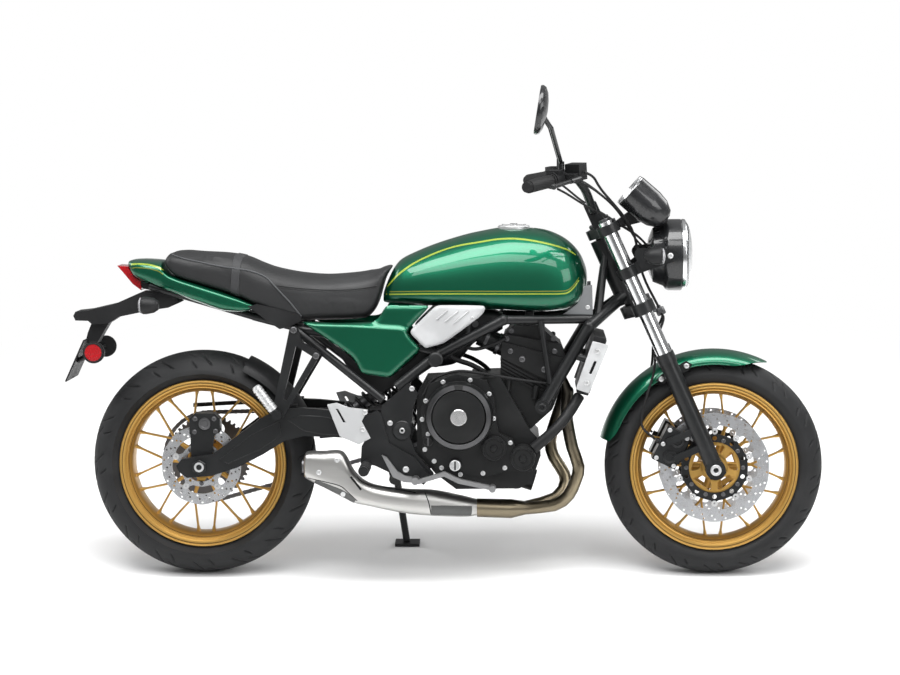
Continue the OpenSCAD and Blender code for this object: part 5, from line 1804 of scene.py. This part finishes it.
@dataclass
class Exhaust:
    """Muffler with painted shade on its lower panels, dark ribbons of painted shade along its grooves and
    crease, and its outlet.
    """

    half: float = 42.0
    groove: Line = (
        (404, 346), (414, 326), (429, 292), (446, 272), (480, 258), (540, 248), (590, 240),
    )
    crease: Line = ((300, 284), (346, 274), (387, 263), (410, 244), (433, 222))
    slot: Line = ((416, 288), (430, 270), (444, 252))
    # Paths of the bands of painted shade on the muffler's lower front and rear panels.
    front_panel_shade: Line = ((632, 190), (668, 188), (706, 185), (742, 183))
    rear_panel_shade: Line = ((318, 273), (346, 262), (387, 245), (410, 231), (426, 219))

    def build(self) -> None:
        """Builds the shell, bands of painted shade on its lower panels, dark ribbons of painted shade along
        its grooves, slot and crease, a dark seam line, the trim and the outlet.
        """
        w = self.half
        rows = [
            (288, -132, w - 14, 290, 314, 338, 4, 4), (290, -132, w - 8, 284, 314, 344, 4, 4),
            (298, -132, w - 2, 277, 314, 351, 4, 4), (340, -132, w, 256, 304, 352, 4, 4),
            (392, -132, w, 228, 288, 350, 4, 4), (424, -131, w, 213, 258, 296, 4, 4),
            (470, -127, w, 203, 234, 262, 4, 3), (560, -115, w + 2, 182, 214, 246, 3, 3),
            (640, -97, w + 2, 172, 206, 240, 3, 3), (720, -74, w, 166, 194, 220, 3, 3),
            (755, -64, w - 8, 168, 190, 210, 3, 3),
        ]
        skin = Shape().loft(rows, 8, 72)
        skin.make("muffler_shell", BRUSHED, Body.CHASSIS, ["muffler"], 45.0)
        drape = Drape(skin)
        dark, bright, painted_shade = Shape(), Shape(), Shape()
        # Darker silver bands over the lower front and rear panels: painted shade.
        drape.ribbon(painted_shade, self.front_panel_shade, 32.0, RIGHT, 0.9)
        drape.ribbon(painted_shade, self.rear_panel_shade, 19.0, RIGHT, 0.9)
        painted_shade.make("muffler_panel_shade", PAINTED_SHADE_SILVER)
        # Dark ribbons of painted shade along the groove, slot and crease; the last ribbon is a dark seam
        # line.
        drape.ribbon(dark, self.groove, 5.0, RIGHT)
        drape.ribbon(dark, self.slot, 6.0, RIGHT, 0.5)
        drape.ribbon(dark, self.crease, 2.4, RIGHT)
        drape.ribbon(dark, [(612, 246), (625, 216), (632, 180)], 3.0, RIGHT)
        drape.bead(bright, [(x + 2, z + 6) for x, z in self.groove], 1.6, RIGHT, 0.2)
        for x, z in ((379, 333), (395, 240), (330, 300)):
            hit = drape.cast(x, z, RIGHT)
            bright.bolt(hit[0], hit[1], 6.0, 3.5)
        dark.make("muffler_groove_shade", ENGINE)
        bright.make("muffler_trim", SILVER)
        outlet = [(15, -3), (18.5, -3), (19, 0), (19, 8), (15.5, 8)]
        end, back = (290, -132, 312), (-1, 0, 0)
        Shape().revolve(outlet, end, back, 48).make("muffler_outlet", DARK_STEEL)
        inside = Shape().revolve(box(0, 1.6, 15.6, 2.2), end, back, 48)
        inside.make("muffler_bore", ENGINE)


@dataclass
class Lamps:
    """Headlamp, meters and turn signals."""

    lamp: Place = (1317.0, 0.0, 878.0)
    lamp_r: float = 98.0
    meter: Flat = (1176.0, 1055.0)
    meter_r: float = 49.0
    meter_y: float = 55.0
    tilt: float = radians(49.0)

    def build(self) -> None:
        """Builds each lamp and meter."""
        self.headlamp()
        self.meters()
        self.signals()

    def headlamp(self) -> None:
        """Builds the headlamp's rim, lens and lights."""
        ahead = (1.0, 0.0, 0.0)
        r = self.lamp_r
        arc = [radians(15 * k) for k in range(1, 6)]
        outer = [((r - 6) * cos(a), 8 + 21 * sin(a)) for a in arc]
        inner = [((r - 9) * cos(a), 6 + 20 * sin(a)) for a in reversed(arc)]
        glass = [(r - 4, 0.4), (r - 3, 8), *outer, (0, 29), (0, 26.5), *inner, (r - 7, 0.4)]
        dome = Shape().revolve(glass, self.lamp, ahead, 96)
        dome.make("headlamp_glass", CLEAR, Body.STEERING, ["headlamp_lens"], 30.0)
        rim = [(r - 3, -1), (r - 0.2, -1), (r + 0.4, 3), (r - 0.6, 8), (r - 2.4, 9.5), (r - 3.4, 8.6)]
        Shape().revolve(rim, self.lamp, ahead, 96).make("headlamp_rim", CHROME, Body.STEERING)
        bowl = [(0, 0.4), (r - 12, 0.4), (r - 12, 9), (r - 18, 7), (r - 34, 3), (0, 2)]
        Shape().revolve(bowl, self.lamp, ahead, 96).make("headlamp_bowl", CHROME, Body.STEERING)
        lights, frames = Shape(), Shape()
        x, _, z = self.lamp
        for lift in (-26.0, 26.0):
            spot = (x, 0.0, z + lift)
            lights.revolve([(0, 2), (22, 2), (21, 8), (15, 12), (0, 14)], spot, ahead, 40)
            frames.revolve([(23, 2), (29, 2), (27, 9), (24, 9)], spot, ahead, 40)
        lights.make("headlamp_lights", CLEAR, Body.STEERING)
        frames.plate([(x + 2, z - 4), (x + 12, z - 2.5), (x + 12, z + 2.5), (x + 2, z + 4)], -72.0, 72.0)
        frames.make("headlamp_frames", GLOSS, Body.STEERING)

    def meters(self) -> None:
        """Builds the dials with ticks, needles, rims and glasses."""
        axis = Vector((-sin(self.tilt), 0.0, cos(self.tilt)))
        up = Vector((cos(self.tilt), 0.0, sin(self.tilt)))
        across = Vector(ACROSS)
        r = self.meter_r
        rim = [(r - 6.6, -0.4), (r - 0.8, -0.4), (r - 0.4, 1.2), (r - 2, 3), (r - 5, 2.4)]
        strokes = [(2.2, [(-8, 1.6), (30, 0.4), (30, -0.4), (-8, -1.6)], (-5.4, -4.8))]
        for k in range(41):
            long, wide = (6.0, 0.7) if k % 5 == 0 else (3.0, 0.35)
            tick = box(37 - long, wide, 37, -wide)
            strokes.append((radians(-130 + 260 * k / 40), tick, (-6.3, -5.9)))
        dials, marks, rims, glasses = Shape(), Shape(), Shape(), Shape()
        for y in (-self.meter_y, self.meter_y):
            at = Vector((self.meter[0], y, self.meter[1]))
            dials.revolve(box(0, -6.9, r - 7.2, -6.2), at, axis, 64)
            rims.revolve(rim, at, axis, 64)
            glasses.revolve([(0, -1.6), (r - 6.4, -1.6), (r - 6.4, 0), (0, 0.8)], at, axis, 64)
            for angle, corners, heights in strokes:
                out = cos(angle) * up + sin(angle) * across
                flat = axis.cross(out)
                ends = [[at + axis * h + out * a + flat * b for a, b in corners] for h in heights]
                marks.skin(np.array(ends))
            marks.revolve([(0, -6.0), (3.4, -6.0), (3.0, -4.4), (0, -4.2)], at, axis, 20)
        dials.make("meter_dials", PLASTIC, Body.STEERING)
        marks.make("meter_marks", WHITE_SILVER, Body.STEERING)
        rims.make("meter_rims", CHROME, Body.STEERING)
        glasses.make("meter_glasses", CLEAR, Body.STEERING)

    def signals(self) -> None:
        """Builds the turn signals' lenses, facing forward on the fork and back on the tail."""
        lens = [(0, 18.4), (20.5, 17.0), (22, 17.2), (20.5, 21), (15, 24), (0, 26)]
        front, rear = Shape(), Shape()
        for y in (-150.0, 150.0):
            front.revolve(lens, (1240, y, 882), (1, 0, 0), 40)
            rear.revolve(lens, (-133, y, 752), (-1, 0, 0), 40)
        front.make("front_signal_lenses", SMOKED, Body.STEERING)
        rear.make("rear_signal_lenses", SMOKED)


@dataclass
class Fittings:
    """Bolts, nuts, cables and fins about the motorcycle."""

    caliper_face: float = 98.6
    caliper_turn: float = radians(40.0)
    rear_caliper_face: float = 103.2

    def build(self) -> None:
        """Builds the fittings of each body."""
        self.chassis()
        self.steering()
        self.rear_end()
        self.hoses()
        self.radiator()

    def chassis(self) -> None:
        """Adds the frame's, swingarm's and footrests' bolts."""
        bright, dark, grey = Shape(), Shape(), Shape()
        bolts = (
            (455, 159.8, 462, 6.0, 4.0), (449, 159.8, 416, 6.0, 4.0), (522, 146.8, 431, 6.0, 5.0),
            (582, 146.8, 525, 6.0, 5.0), (606, 146.8, 300, 6.0, 5.0), (565, 155.8, 306, 7.0, 5.0),
            (1058, 93, 741, 5.0, 3.0), (1083, 158, 627, 6.5, 3.0), (1054, 158, 541, 6.5, 3.0),
            (746, 147, 715, 5.0, 3.0),
        )
        stud = ((0, 0), (9, 0), (9, 2), (6.5, 3), (5.5, 5), (0, 5))
        turned = (
            (bright, 40, (555, 150.8, 411), ((4, 0), (7.5, 0), (7.5, 3), (6.5, 4), (4, 4))),
            (dark, 64, (555, 147, 411), ((8, 0), (26, 0), (27, 2), (24, 5), (20, 5), (17, 3.5), (8, 3.5))),
            (dark, 48, (646, 146, 603), ((0, 0), (20, 0), (20, 2), (16, 4), (12, 3), (0, 3))),
            (grey, 28, (262, 144, 684), stud),
            (grey, 28, (322, 144, 614), stud),
            (dark, 6, (0, 136.2, 309), ((0, 0), (20, 0), (20, 3), (18, 4.5), (0, 4.5))),
            (bright, 40, (0, 136.2, 309), ((7.5, 4), (13.5, 4), (13, 6), (8, 6))),
        )
        for side in SIDES:
            out = (0.0, side, 0.0)
            for x, y, z, radius, height in bolts:
                bright.bolt((x, side * y, z), out, radius, height)
            dark.bolt((934, side * 150, 474), out, 11.0, 8.0)
            for shape, count, (x, y, z), profile in turned:
                shape.revolve(profile, (x, side * y, z), out, count)
        bright.make("chassis_bolts", SILVER)
        dark.make("chassis_caps", BLACK)
        grey.make("strut_bolts", DARK_STEEL)

    def steering(self) -> None:
        """Adds the fork's caps and bolts, the stem nut and the cables to the switches."""
        bright, cables = Shape(), Shape()
        for y in (-97.0, 97.0):
            bright.revolve([(0, 0), (17, 0), (17, 6), (15, 8), (0, 8)], fork_point(0, y, 738), FORK_UP, 6)
        bright.revolve([(0, 0), (16, 0), (16, 9), (13, 12), (0, 12)], fork_point(-30, 0, 728), FORK_UP, 6)
        for y in (-44.0, 44.0):
            for ahead in (-29.0, -7.0):
                bright.bolt(fork_point(ahead, y, 795), FORK_UP, 4.0, 5.0)
        bright.make("fork_bolts", DARK_STEEL, Body.STEERING)
        self.front_brakes()
        for side, lift in ((LEFT, 0.0), (RIGHT, -6.0)):
            cable = (
                (975, 268, 1072 + lift), (1000, 240, 1058 + lift), (1046, 190, 1022), (1100, 110, 990),
                (1150, 52, 960), (1196, 30, 930), (1226, 22, 900),
            )
            wire = (
                (1000, 236, 1090), (1050, 200, 1075), (1100, 140, 1040), (1140, 70, 1000), (1170, 32, 956),
                (1194, 16, 918), (1228, 12, 886),
            )
            cables.hose(cable, 3.2, side, 8).hose(wire, 2.8, side, 8)
        cables.make("bar_cables", RUBBER, Body.STEERING)
        self.hose_union()

    def hose_union(self) -> None:
        """Adds the block that splits the brake hose, with the arm that holds it."""
        block = [(0, 0), (11, 0), (12.5, 2), (12.5, 19), (11, 21), (0, 21)]
        union = Shape().revolve(block, fork_point(40, 0, 436), FORK_UP, 6)
        union.revolve([(0, 21), (6, 21), (6, 27), (5, 28), (0, 28)], fork_point(40, -4, 436), FORK_UP, 6)
        union.tube([fork_point(38, 0, 450), fork_point(24, 0, 456), fork_point(-6, 0, 468)], 5.0, 12)
        union.make("hose_union", DARK_STEEL, Body.STEERING)

    def front_brakes(self) -> None:
        """Adds the calipers' caps and bolts, the mudguard's brackets and the lamp bracket's bolts."""
        caps, bolts, brackets = Shape(), Shape(), Shape()
        stay = [(1244, 538), (1258, 554), (1326, 592), (1342, 584), (1332, 566), (1264, 530)]
        arm = [(1184, 882), (1185, 890), (1194, 902), (1284, 899)]
        arm += [(1296, 893), (1300, 881), (1293, 868), (1202, 843)]
        for side in SIDES:
            out = (0.0, side, 0.0)
            for along in (-24.0, 24.0):
                spot = self.caliper_spot(along, side, 126.0)
                caps.revolve([(0, 0), (19, 0), (18, 3), (12, 4), (11, 2.6), (0, 2.6)], spot, out, 40)
            for along, up in ((-42.0, 106.0), (42.0, 106.0), (-42.0, 158.0), (42.0, 158.0), (0.0, 158.0)):
                bolts.bolt(self.caliper_spot(along, side, up), out, 5.0, 5.0)
            brackets.plate(stay, side * 66.5, side * 73.0)
            for x, z in ((1259, 543), (1327, 579)):
                bolts.bolt((x, side * 73, z), out, 6.0, 4.0)
            brackets.plate(arm, side * 103.0, side * 106.5)
            bolts.bolt((1281, side * 106.4, 881), out, 6.5, 4.0)
        caps.make("caliper_caps", BLACK, Body.STEERING)
        bolts.make("caliper_bolts", SILVER, Body.STEERING)
        brackets.make("mudguard_brackets", BLACK, Body.STEERING)

    def caliper_spot(self, along: float, side: float, up: float) -> Place:
        """Finds a place on a front caliper's face, given in the caliper's own directions.

        Args:
            along: distance along the caliper.
            side: LEFT or RIGHT.
            up: distance from the axle out to the caliper.

        Returns:
            The place, upright in millimetres.
        """
        c, s = cos(self.caliper_turn), sin(self.caliper_turn)
        return fork_point(along * c - up * s, side * self.caliper_face, along * s + up * c)

    def rear_end(self) -> None:
        """Adds the rear caliper's bolts, the swingarm's ribs, the pegs' sleeves and the tail's tray."""
        bolts, ribs, sleeves, grips = Shape(), Shape(), Shape(), Shape()
        for x, z in ((-14, 438), (38, 438), (-16, 402), (42, 404)):
            bolts.bolt((x, -self.rear_caliper_face, z), TO_RIGHT, 5.5, 5.0)
        cap = [(0, 0), (17, 0), (16, 3), (10, 3.6), (9, 2), (0, 2)]
        bolts.revolve(cap, (12, -self.rear_caliper_face, 424), TO_RIGHT, 40)
        bolts.make("rear_caliper_bolts", DARK_STEEL)
        along, up = Vector((-0.9835, 0.0, -0.1808)), Vector((-0.1808, 0.0, 0.9835))
        run = [(0.1, 20), (0.38, 76), (0.47, 88), (0.54, 84), (0.47, 46), (0.38, 26), (0.26, 12)]
        run += [(0.1, -6), (0.1, 20)]
        fore = [(0.58, 84), (0.72, 62), (0.9, 10), (0.86, -6), (0.7, 16), (0.58, 44), (0.58, 84)]
        for side in SIDES:
            for points in (run, fore):
                path = [Vector((555, side * 126.6, 411)) + along * t * 564.3 + up * h for t, h in points]
                ribs.tube(path, 1.3, 8)
            start, end = Vector((216, side * 160, 455)), Vector((160, side * 160, 530))
            way = (end - start).normalized()
            profile = [(11.1, 16), (12.6, 16)]
            for k in range(8):
                profile += [(12.6, 19 + 9 * k), (14.2, 20 + 9 * k), (14.2, 24 + 9 * k), (12.6, 25 + 9 * k)]
            profile += [(12.6, 93), (8, 97), (0, 97), (0, 94), (11.1, 94)]
            sleeves.revolve(profile, start, way, 28)
            for k in range(9):
                ring = [(12.6, 0), (14.6, 1), (14.6, 5), (12.6, 6)]
                grips.revolve(ring, (459, side * (200 + 10.5 * k), 319), (0, side, 0), 28)
        ribs.make("swingarm_ribs", BLACK)
        sleeves.make("passenger_pegs", SILVER)
        grips.make("peg_rubbers", RUBBER)
        tray = [(-206, 830), (-184, 806), (-160, 790), (-112, 780), (-104, 792), (-158, 812), (-190, 838)]
        Shape().plate(tray, -37.0, 37.0).make("tail_tray", PLASTIC)

    def hoses(self) -> None:
        """Adds the throttle bodies' rail, breather hoses and wiring about the engine."""
        hoses, metal = Shape(), Shape()
        drain = (
            (640, 96, 640), (668, 104, 622), (700, 100, 600), (742, 92, 584), (780, 80, 560), (800, 62, 530),
        )
        wire = ((600, 100, 560), (640, 112, 588), (690, 108, 618), (748, 92, 652), (800, 70, 690))
        sender = (
            (612, 140, 505), (640, 146, 550), (702, 150, 572), (763, 146, 567), (850, 112, 549),
            (945, 104, 534),
        )
        breather = ((690, 86, 664), (716, 98, 640), (752, 100, 628), (800, 98, 640), (836, 92, 656))
        runs = (
            (4.0, RIGHT, sender), (7.0, RIGHT, drain), (5.0, RIGHT, breather), (4.0, RIGHT, wire),
            (6.0, LEFT, drain), (4.0, LEFT, wire),
        )
        for radius, side, run in runs:
            hoses.hose(run, radius, side, 10)
        hoses.make("engine_hoses", RUBBER)
        metal.revolve(box(0, -72, 9, 72), (752, 0, 694), ACROSS, 24)
        for y in (-45.0, 45.0):
            for x, z in ((818, 632), (786, 647)):
                metal.revolve(box(24.5, 0, 27, 9), (x, y, z), (-0.908, 0, 0.419), 32)
            metal.tube([(756, y, 690), (786, y, 660)], 6.0, 12)
        metal.make("throttle_rail", DARK_STEEL)

    def radiator(self) -> None:
        """Adds the radiator's fins and tubes, seen from the front."""
        low, high = Vector((1058.5, 0.0, 505.5)), Vector((1108.5, 0.0, 660.5))
        along, across = high - low, Vector(ACROSS)
        way = along.normalized()
        out = Vector((way.z, 0.0, -way.x))
        fins = Shape()
        edge = [way * a + out * b for a, b in box(-1.1, 0.0, 1.1, 2.2)]
        for k in range(34):
            centre = low + along * (0.05 + 0.9 * k / 33)
            fins.skin(np.array([[centre + across * y + e for e in edge] for y in (-138.0, 138.0)]))
        edge = [across * a + out * b for a, b in box(-0.8, 0.0, 0.8, 1.6)]
        for k in range(23):
            foot = low + across * (12.0 * k - 132.0)
            fins.skin(np.array([[foot + along * t + e for e in edge] for t in (0.04, 0.96)]))
        fins.make("radiator_fins", DARK_STEEL)


@dataclass(frozen=True)
class Dressing:
    """How the solids that stay are finished."""

    finish: Finish
    bevel: float
    nodes: tuple[str, ...]

    def dress(self, solids: dict[str, bpy.types.Object]) -> None:
        """Gives each solid its finish, rounded edges and smooth faces.

        Args:
            solids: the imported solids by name.
        """
        for name in self.nodes:
            solid = solids[name]
            solid.data.materials.clear()
            solid.data.materials.append(self.finish.material())
            solid.data.shade_smooth()
            modify(solid, "WELD", merge_threshold=0.00002)
            modify(solid, "DECIMATE", decimate_type="DISSOLVE", angle_limit=radians(1.0))
            limit = {"limit_method": "ANGLE", "angle_limit": radians(33.0)}
            modify(solid, "BEVEL", width=self.bevel * 0.001, segments=2, **limit)
            modify(solid, "WEIGHTED_NORMAL", keep_sharp=True)
            LOG.info("%s dressed in %s", name, self.finish.name)


DRESSINGS = (
    Dressing(DARK_STEEL, 0.5, ("rear_sprocket",)),
    Dressing(CHROME, 0.6, ("fork_tubes",)),
    Dressing(BLACK, 2.0, ("fork_legs", "upper_clamp", "lower_clamp", "headlamp_bracket", "levers")),
    Dressing(BLACK, 3.0, ("front_calipers", "rear_caliper", "swingarm", "pivot_plates", "footrests")),
    Dressing(BLACK, 0.8, ("frame", "seat_rails", "handlebar", "side_stand")),
    Dressing(RUBBER, 0.8, ("grips", "brake_hoses")),
    Dressing(PLASTIC, 2.0, ("bar_controls", "front_indicators", "rear_indicators")),
    Dressing(PLASTIC, 2.0, ("radiator", "rear_hugger")),
    Dressing(PLASTIC, 2.5, ("plate_holder",)),
    Dressing(GLOSS, 0.8, ("mirrors", "headlamp_shell", "meter_pods")),
    Dressing(MIRROR, 0.3, ("mirror_glasses",)),
    Dressing(GREY, 1.5, ("nose_trims",)),
    Dressing(ENGINE, 3.0, ("crankcase", "cylinder_block", "engine_covers")),
    Dressing(WHITE_SILVER, 2.5, ("radiator_covers", "heel_guards")),
    Dressing(SILVER, 1.5, ("front_axle", "rear_axle", "fuel_lid")),
    Dressing(ALLOY, 1.5, ("foot_controls",)),
    Dressing(RED, 1.5, ("rear_lamps",)),
    Dressing(HEADER, 0.5, ("exhaust_headers",)),
)


@dataclass
class Studio:
    """Floor, light and camera."""

    eye: Place = (912.0, -7000.0, 1238.0)
    aim: Place = (680.72, 0.0, 651.17)
    focal_px: float = 2548.97
    width_px: float = 900.0
    roll: float = -0.0040806
    sensor: float = 36.0

    def build(self) -> None:
        """Builds the studio."""
        self.floor()
        self.light()
        self.camera()

    def floor(self) -> None:
        """Lays the pale floor."""
        mesh = bpy.data.meshes.new("floor")
        mesh.from_pydata([(-30, -30, 0), (30, -30, 0), (30, 30, 0), (-30, 30, 0)], [], [[0, 1, 2, 3]])
        floor = put("floor", mesh)
        graph = Graph(bpy.data.materials.new("pale_floor"))
        reach = graph.vector("LENGTH", graph.place(), output="Value")
        near = graph.node("ShaderNodeBsdfDiffuse", None, {"Color": (0.9, 0.9, 0.9)})
        far = graph.node("ShaderNodeEmission", None, {"Color": (1.0, 1.0, 1.0)})
        seen, through = graph.rays()
        share = reach.ramp(1.2, 3.0) * (seen + through)
        mixed = graph.node("ShaderNodeMixShader", None, {0: share, 1: near, 2: far})
        graph.node("ShaderNodeOutputMaterial", None, {"Surface": mixed})
        mesh.materials.append(graph.owner)

    def light(self) -> None:
        """Hangs the lamps and sets the world."""
        world = bpy.data.worlds.new("studio")
        bpy.context.scene.world = world
        graph = Graph(world)
        way = graph.node("ShaderNodeTexCoord", output="Generated")
        height = graph.node("ShaderNodeSeparateXYZ", None, {0: way}, 2)
        seen, through = graph.rays()
        room = graph.mix(height.ramp(0.0, 0.9), (0.2, 0.2, 0.2), (0.45, 0.45, 0.45))
        lamp = graph.node("ShaderNodeBackground", None, {"Color": room})
        white = graph.node("ShaderNodeBackground", None, {"Color": (1.0, 1.0, 1.0)})
        share = seen.sum_of("MAXIMUM", seen, through)
        mixed = graph.node("ShaderNodeMixShader", None, {0: share, 1: lamp, 2: white})
        graph.node("ShaderNodeOutputWorld", None, {"Surface": mixed})
        for name, place, size, power in (
            ("overhead", (0.1, -0.9, 4.0), (5.0, 1.5), 210.0),
            ("front_left", (3.4, 2.6, 2.6), (2.2, 2.0), 55.0),
            ("front_right", (3.3, -3.2, 2.6), (2.4, 2.0), 60.0),
            ("near_side", (-0.4, -3.4, 4.9), (5.5, 1.4), 120.0),
            ("behind", (-3.8, 1.2, 2.4), (1.8, 1.8), 45.0),
        ):
            lamp_data = bpy.data.lights.new(name, "AREA")
            lamp_data.shape = "RECTANGLE"
            lamp_data.size, lamp_data.size_y = size
            lamp_data.energy = power
            lamp_object = put(name, lamp_data)
            way = Vector((0.0, 0.0, 0.6)) - Vector(place)
            lamp_object.location = place
            lamp_object.visible_camera = False
            lamp_object.rotation_euler = way.to_track_quat("-Z", "Y").to_euler()
        bpy.context.scene.view_settings.view_transform = "Standard"

    def camera(self) -> None:
        """Sets the camera where the photograph's stood, beside the motorcycle."""
        ahead = (Vector(self.aim) - Vector(self.eye)).normalized()
        right = ahead.cross(Vector(UP)).normalized()
        up = right.cross(ahead)
        c, s = cos(self.roll), sin(self.roll)
        right, up = right * c + up * s, up * c - right * s
        turn = Matrix((right, up, -ahead)).transposed().to_4x4()
        data = bpy.data.cameras.new("camera")
        data.sensor_fit = "HORIZONTAL"
        data.sensor_width = self.sensor
        data.lens = self.focal_px * self.sensor / self.width_px
        data.clip_end = 100.0
        camera = put("camera", data)
        lean = Matrix.Rotation(-LEAN, 4, "X")
        camera.matrix_world = Matrix.Translation(PARKED @ Vector(self.eye)) @ lean @ turn
        bpy.context.scene.camera = camera


def main() -> None:
    """Builds every piece."""
    logging.basicConfig(level=logging.INFO, format="%(message)s")
    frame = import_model()
    for dressing in DRESSINGS:
        dressing.dress(frame["nodes"])
    sections = (
        Tank(),
        Seat(),
        Tail(),
        SIDE_COVERS,
        DUCT_COVERS,
        Mudguard(),
        Wheel("front_wheel", "front_wheel_rim", Body.FRONT_WHEEL, FRONT_AXLE, 231.0, 50.0, 61.2, 61.2, 74.5),
        Wheel("rear_wheel", "rear_wheel_rim", Body.REAR_WHEEL, REAR_AXLE, 231.0, 63.0, 83.2, 88.7, 60.0),
        Tyre("front_tread", "front_tyre", Body.FRONT_WHEEL, FRONT_AXLE, 299.0, 60.0, 43.5, 68.0, 18),
        Tyre("rear_tread", "rear_tyre", Body.REAR_WHEEL, REAR_AXLE, 309.0, 80.0, 56.5, 78.0, 16),
        Rotor("front_rotor", "front_discs", Body.FRONT_WHEEL, ROTOR_FRONT, FRONT_AXLE,
              150.0, 117.0, 91.0, 99.0, 70.0, 5.0, 30, (-64.0, 64.0)),
        Rotor("rear_rotor", "rear_disc", Body.REAR_WHEEL, ROTOR_REAR, REAR_AXLE,
              110.0, 80.0, 60.0, 74.0, 46.5, 5.0, 22, (-86.0,), 5, ROTOR_REAR, 8.0),
        Chain(),
        Shock(),
        Engine(),
        Exhaust(),
        Lamps(),
        Fittings(),
        Studio(),
    )
    for part in sections:
        part.build()


if __name__ == "__main__":
    main()
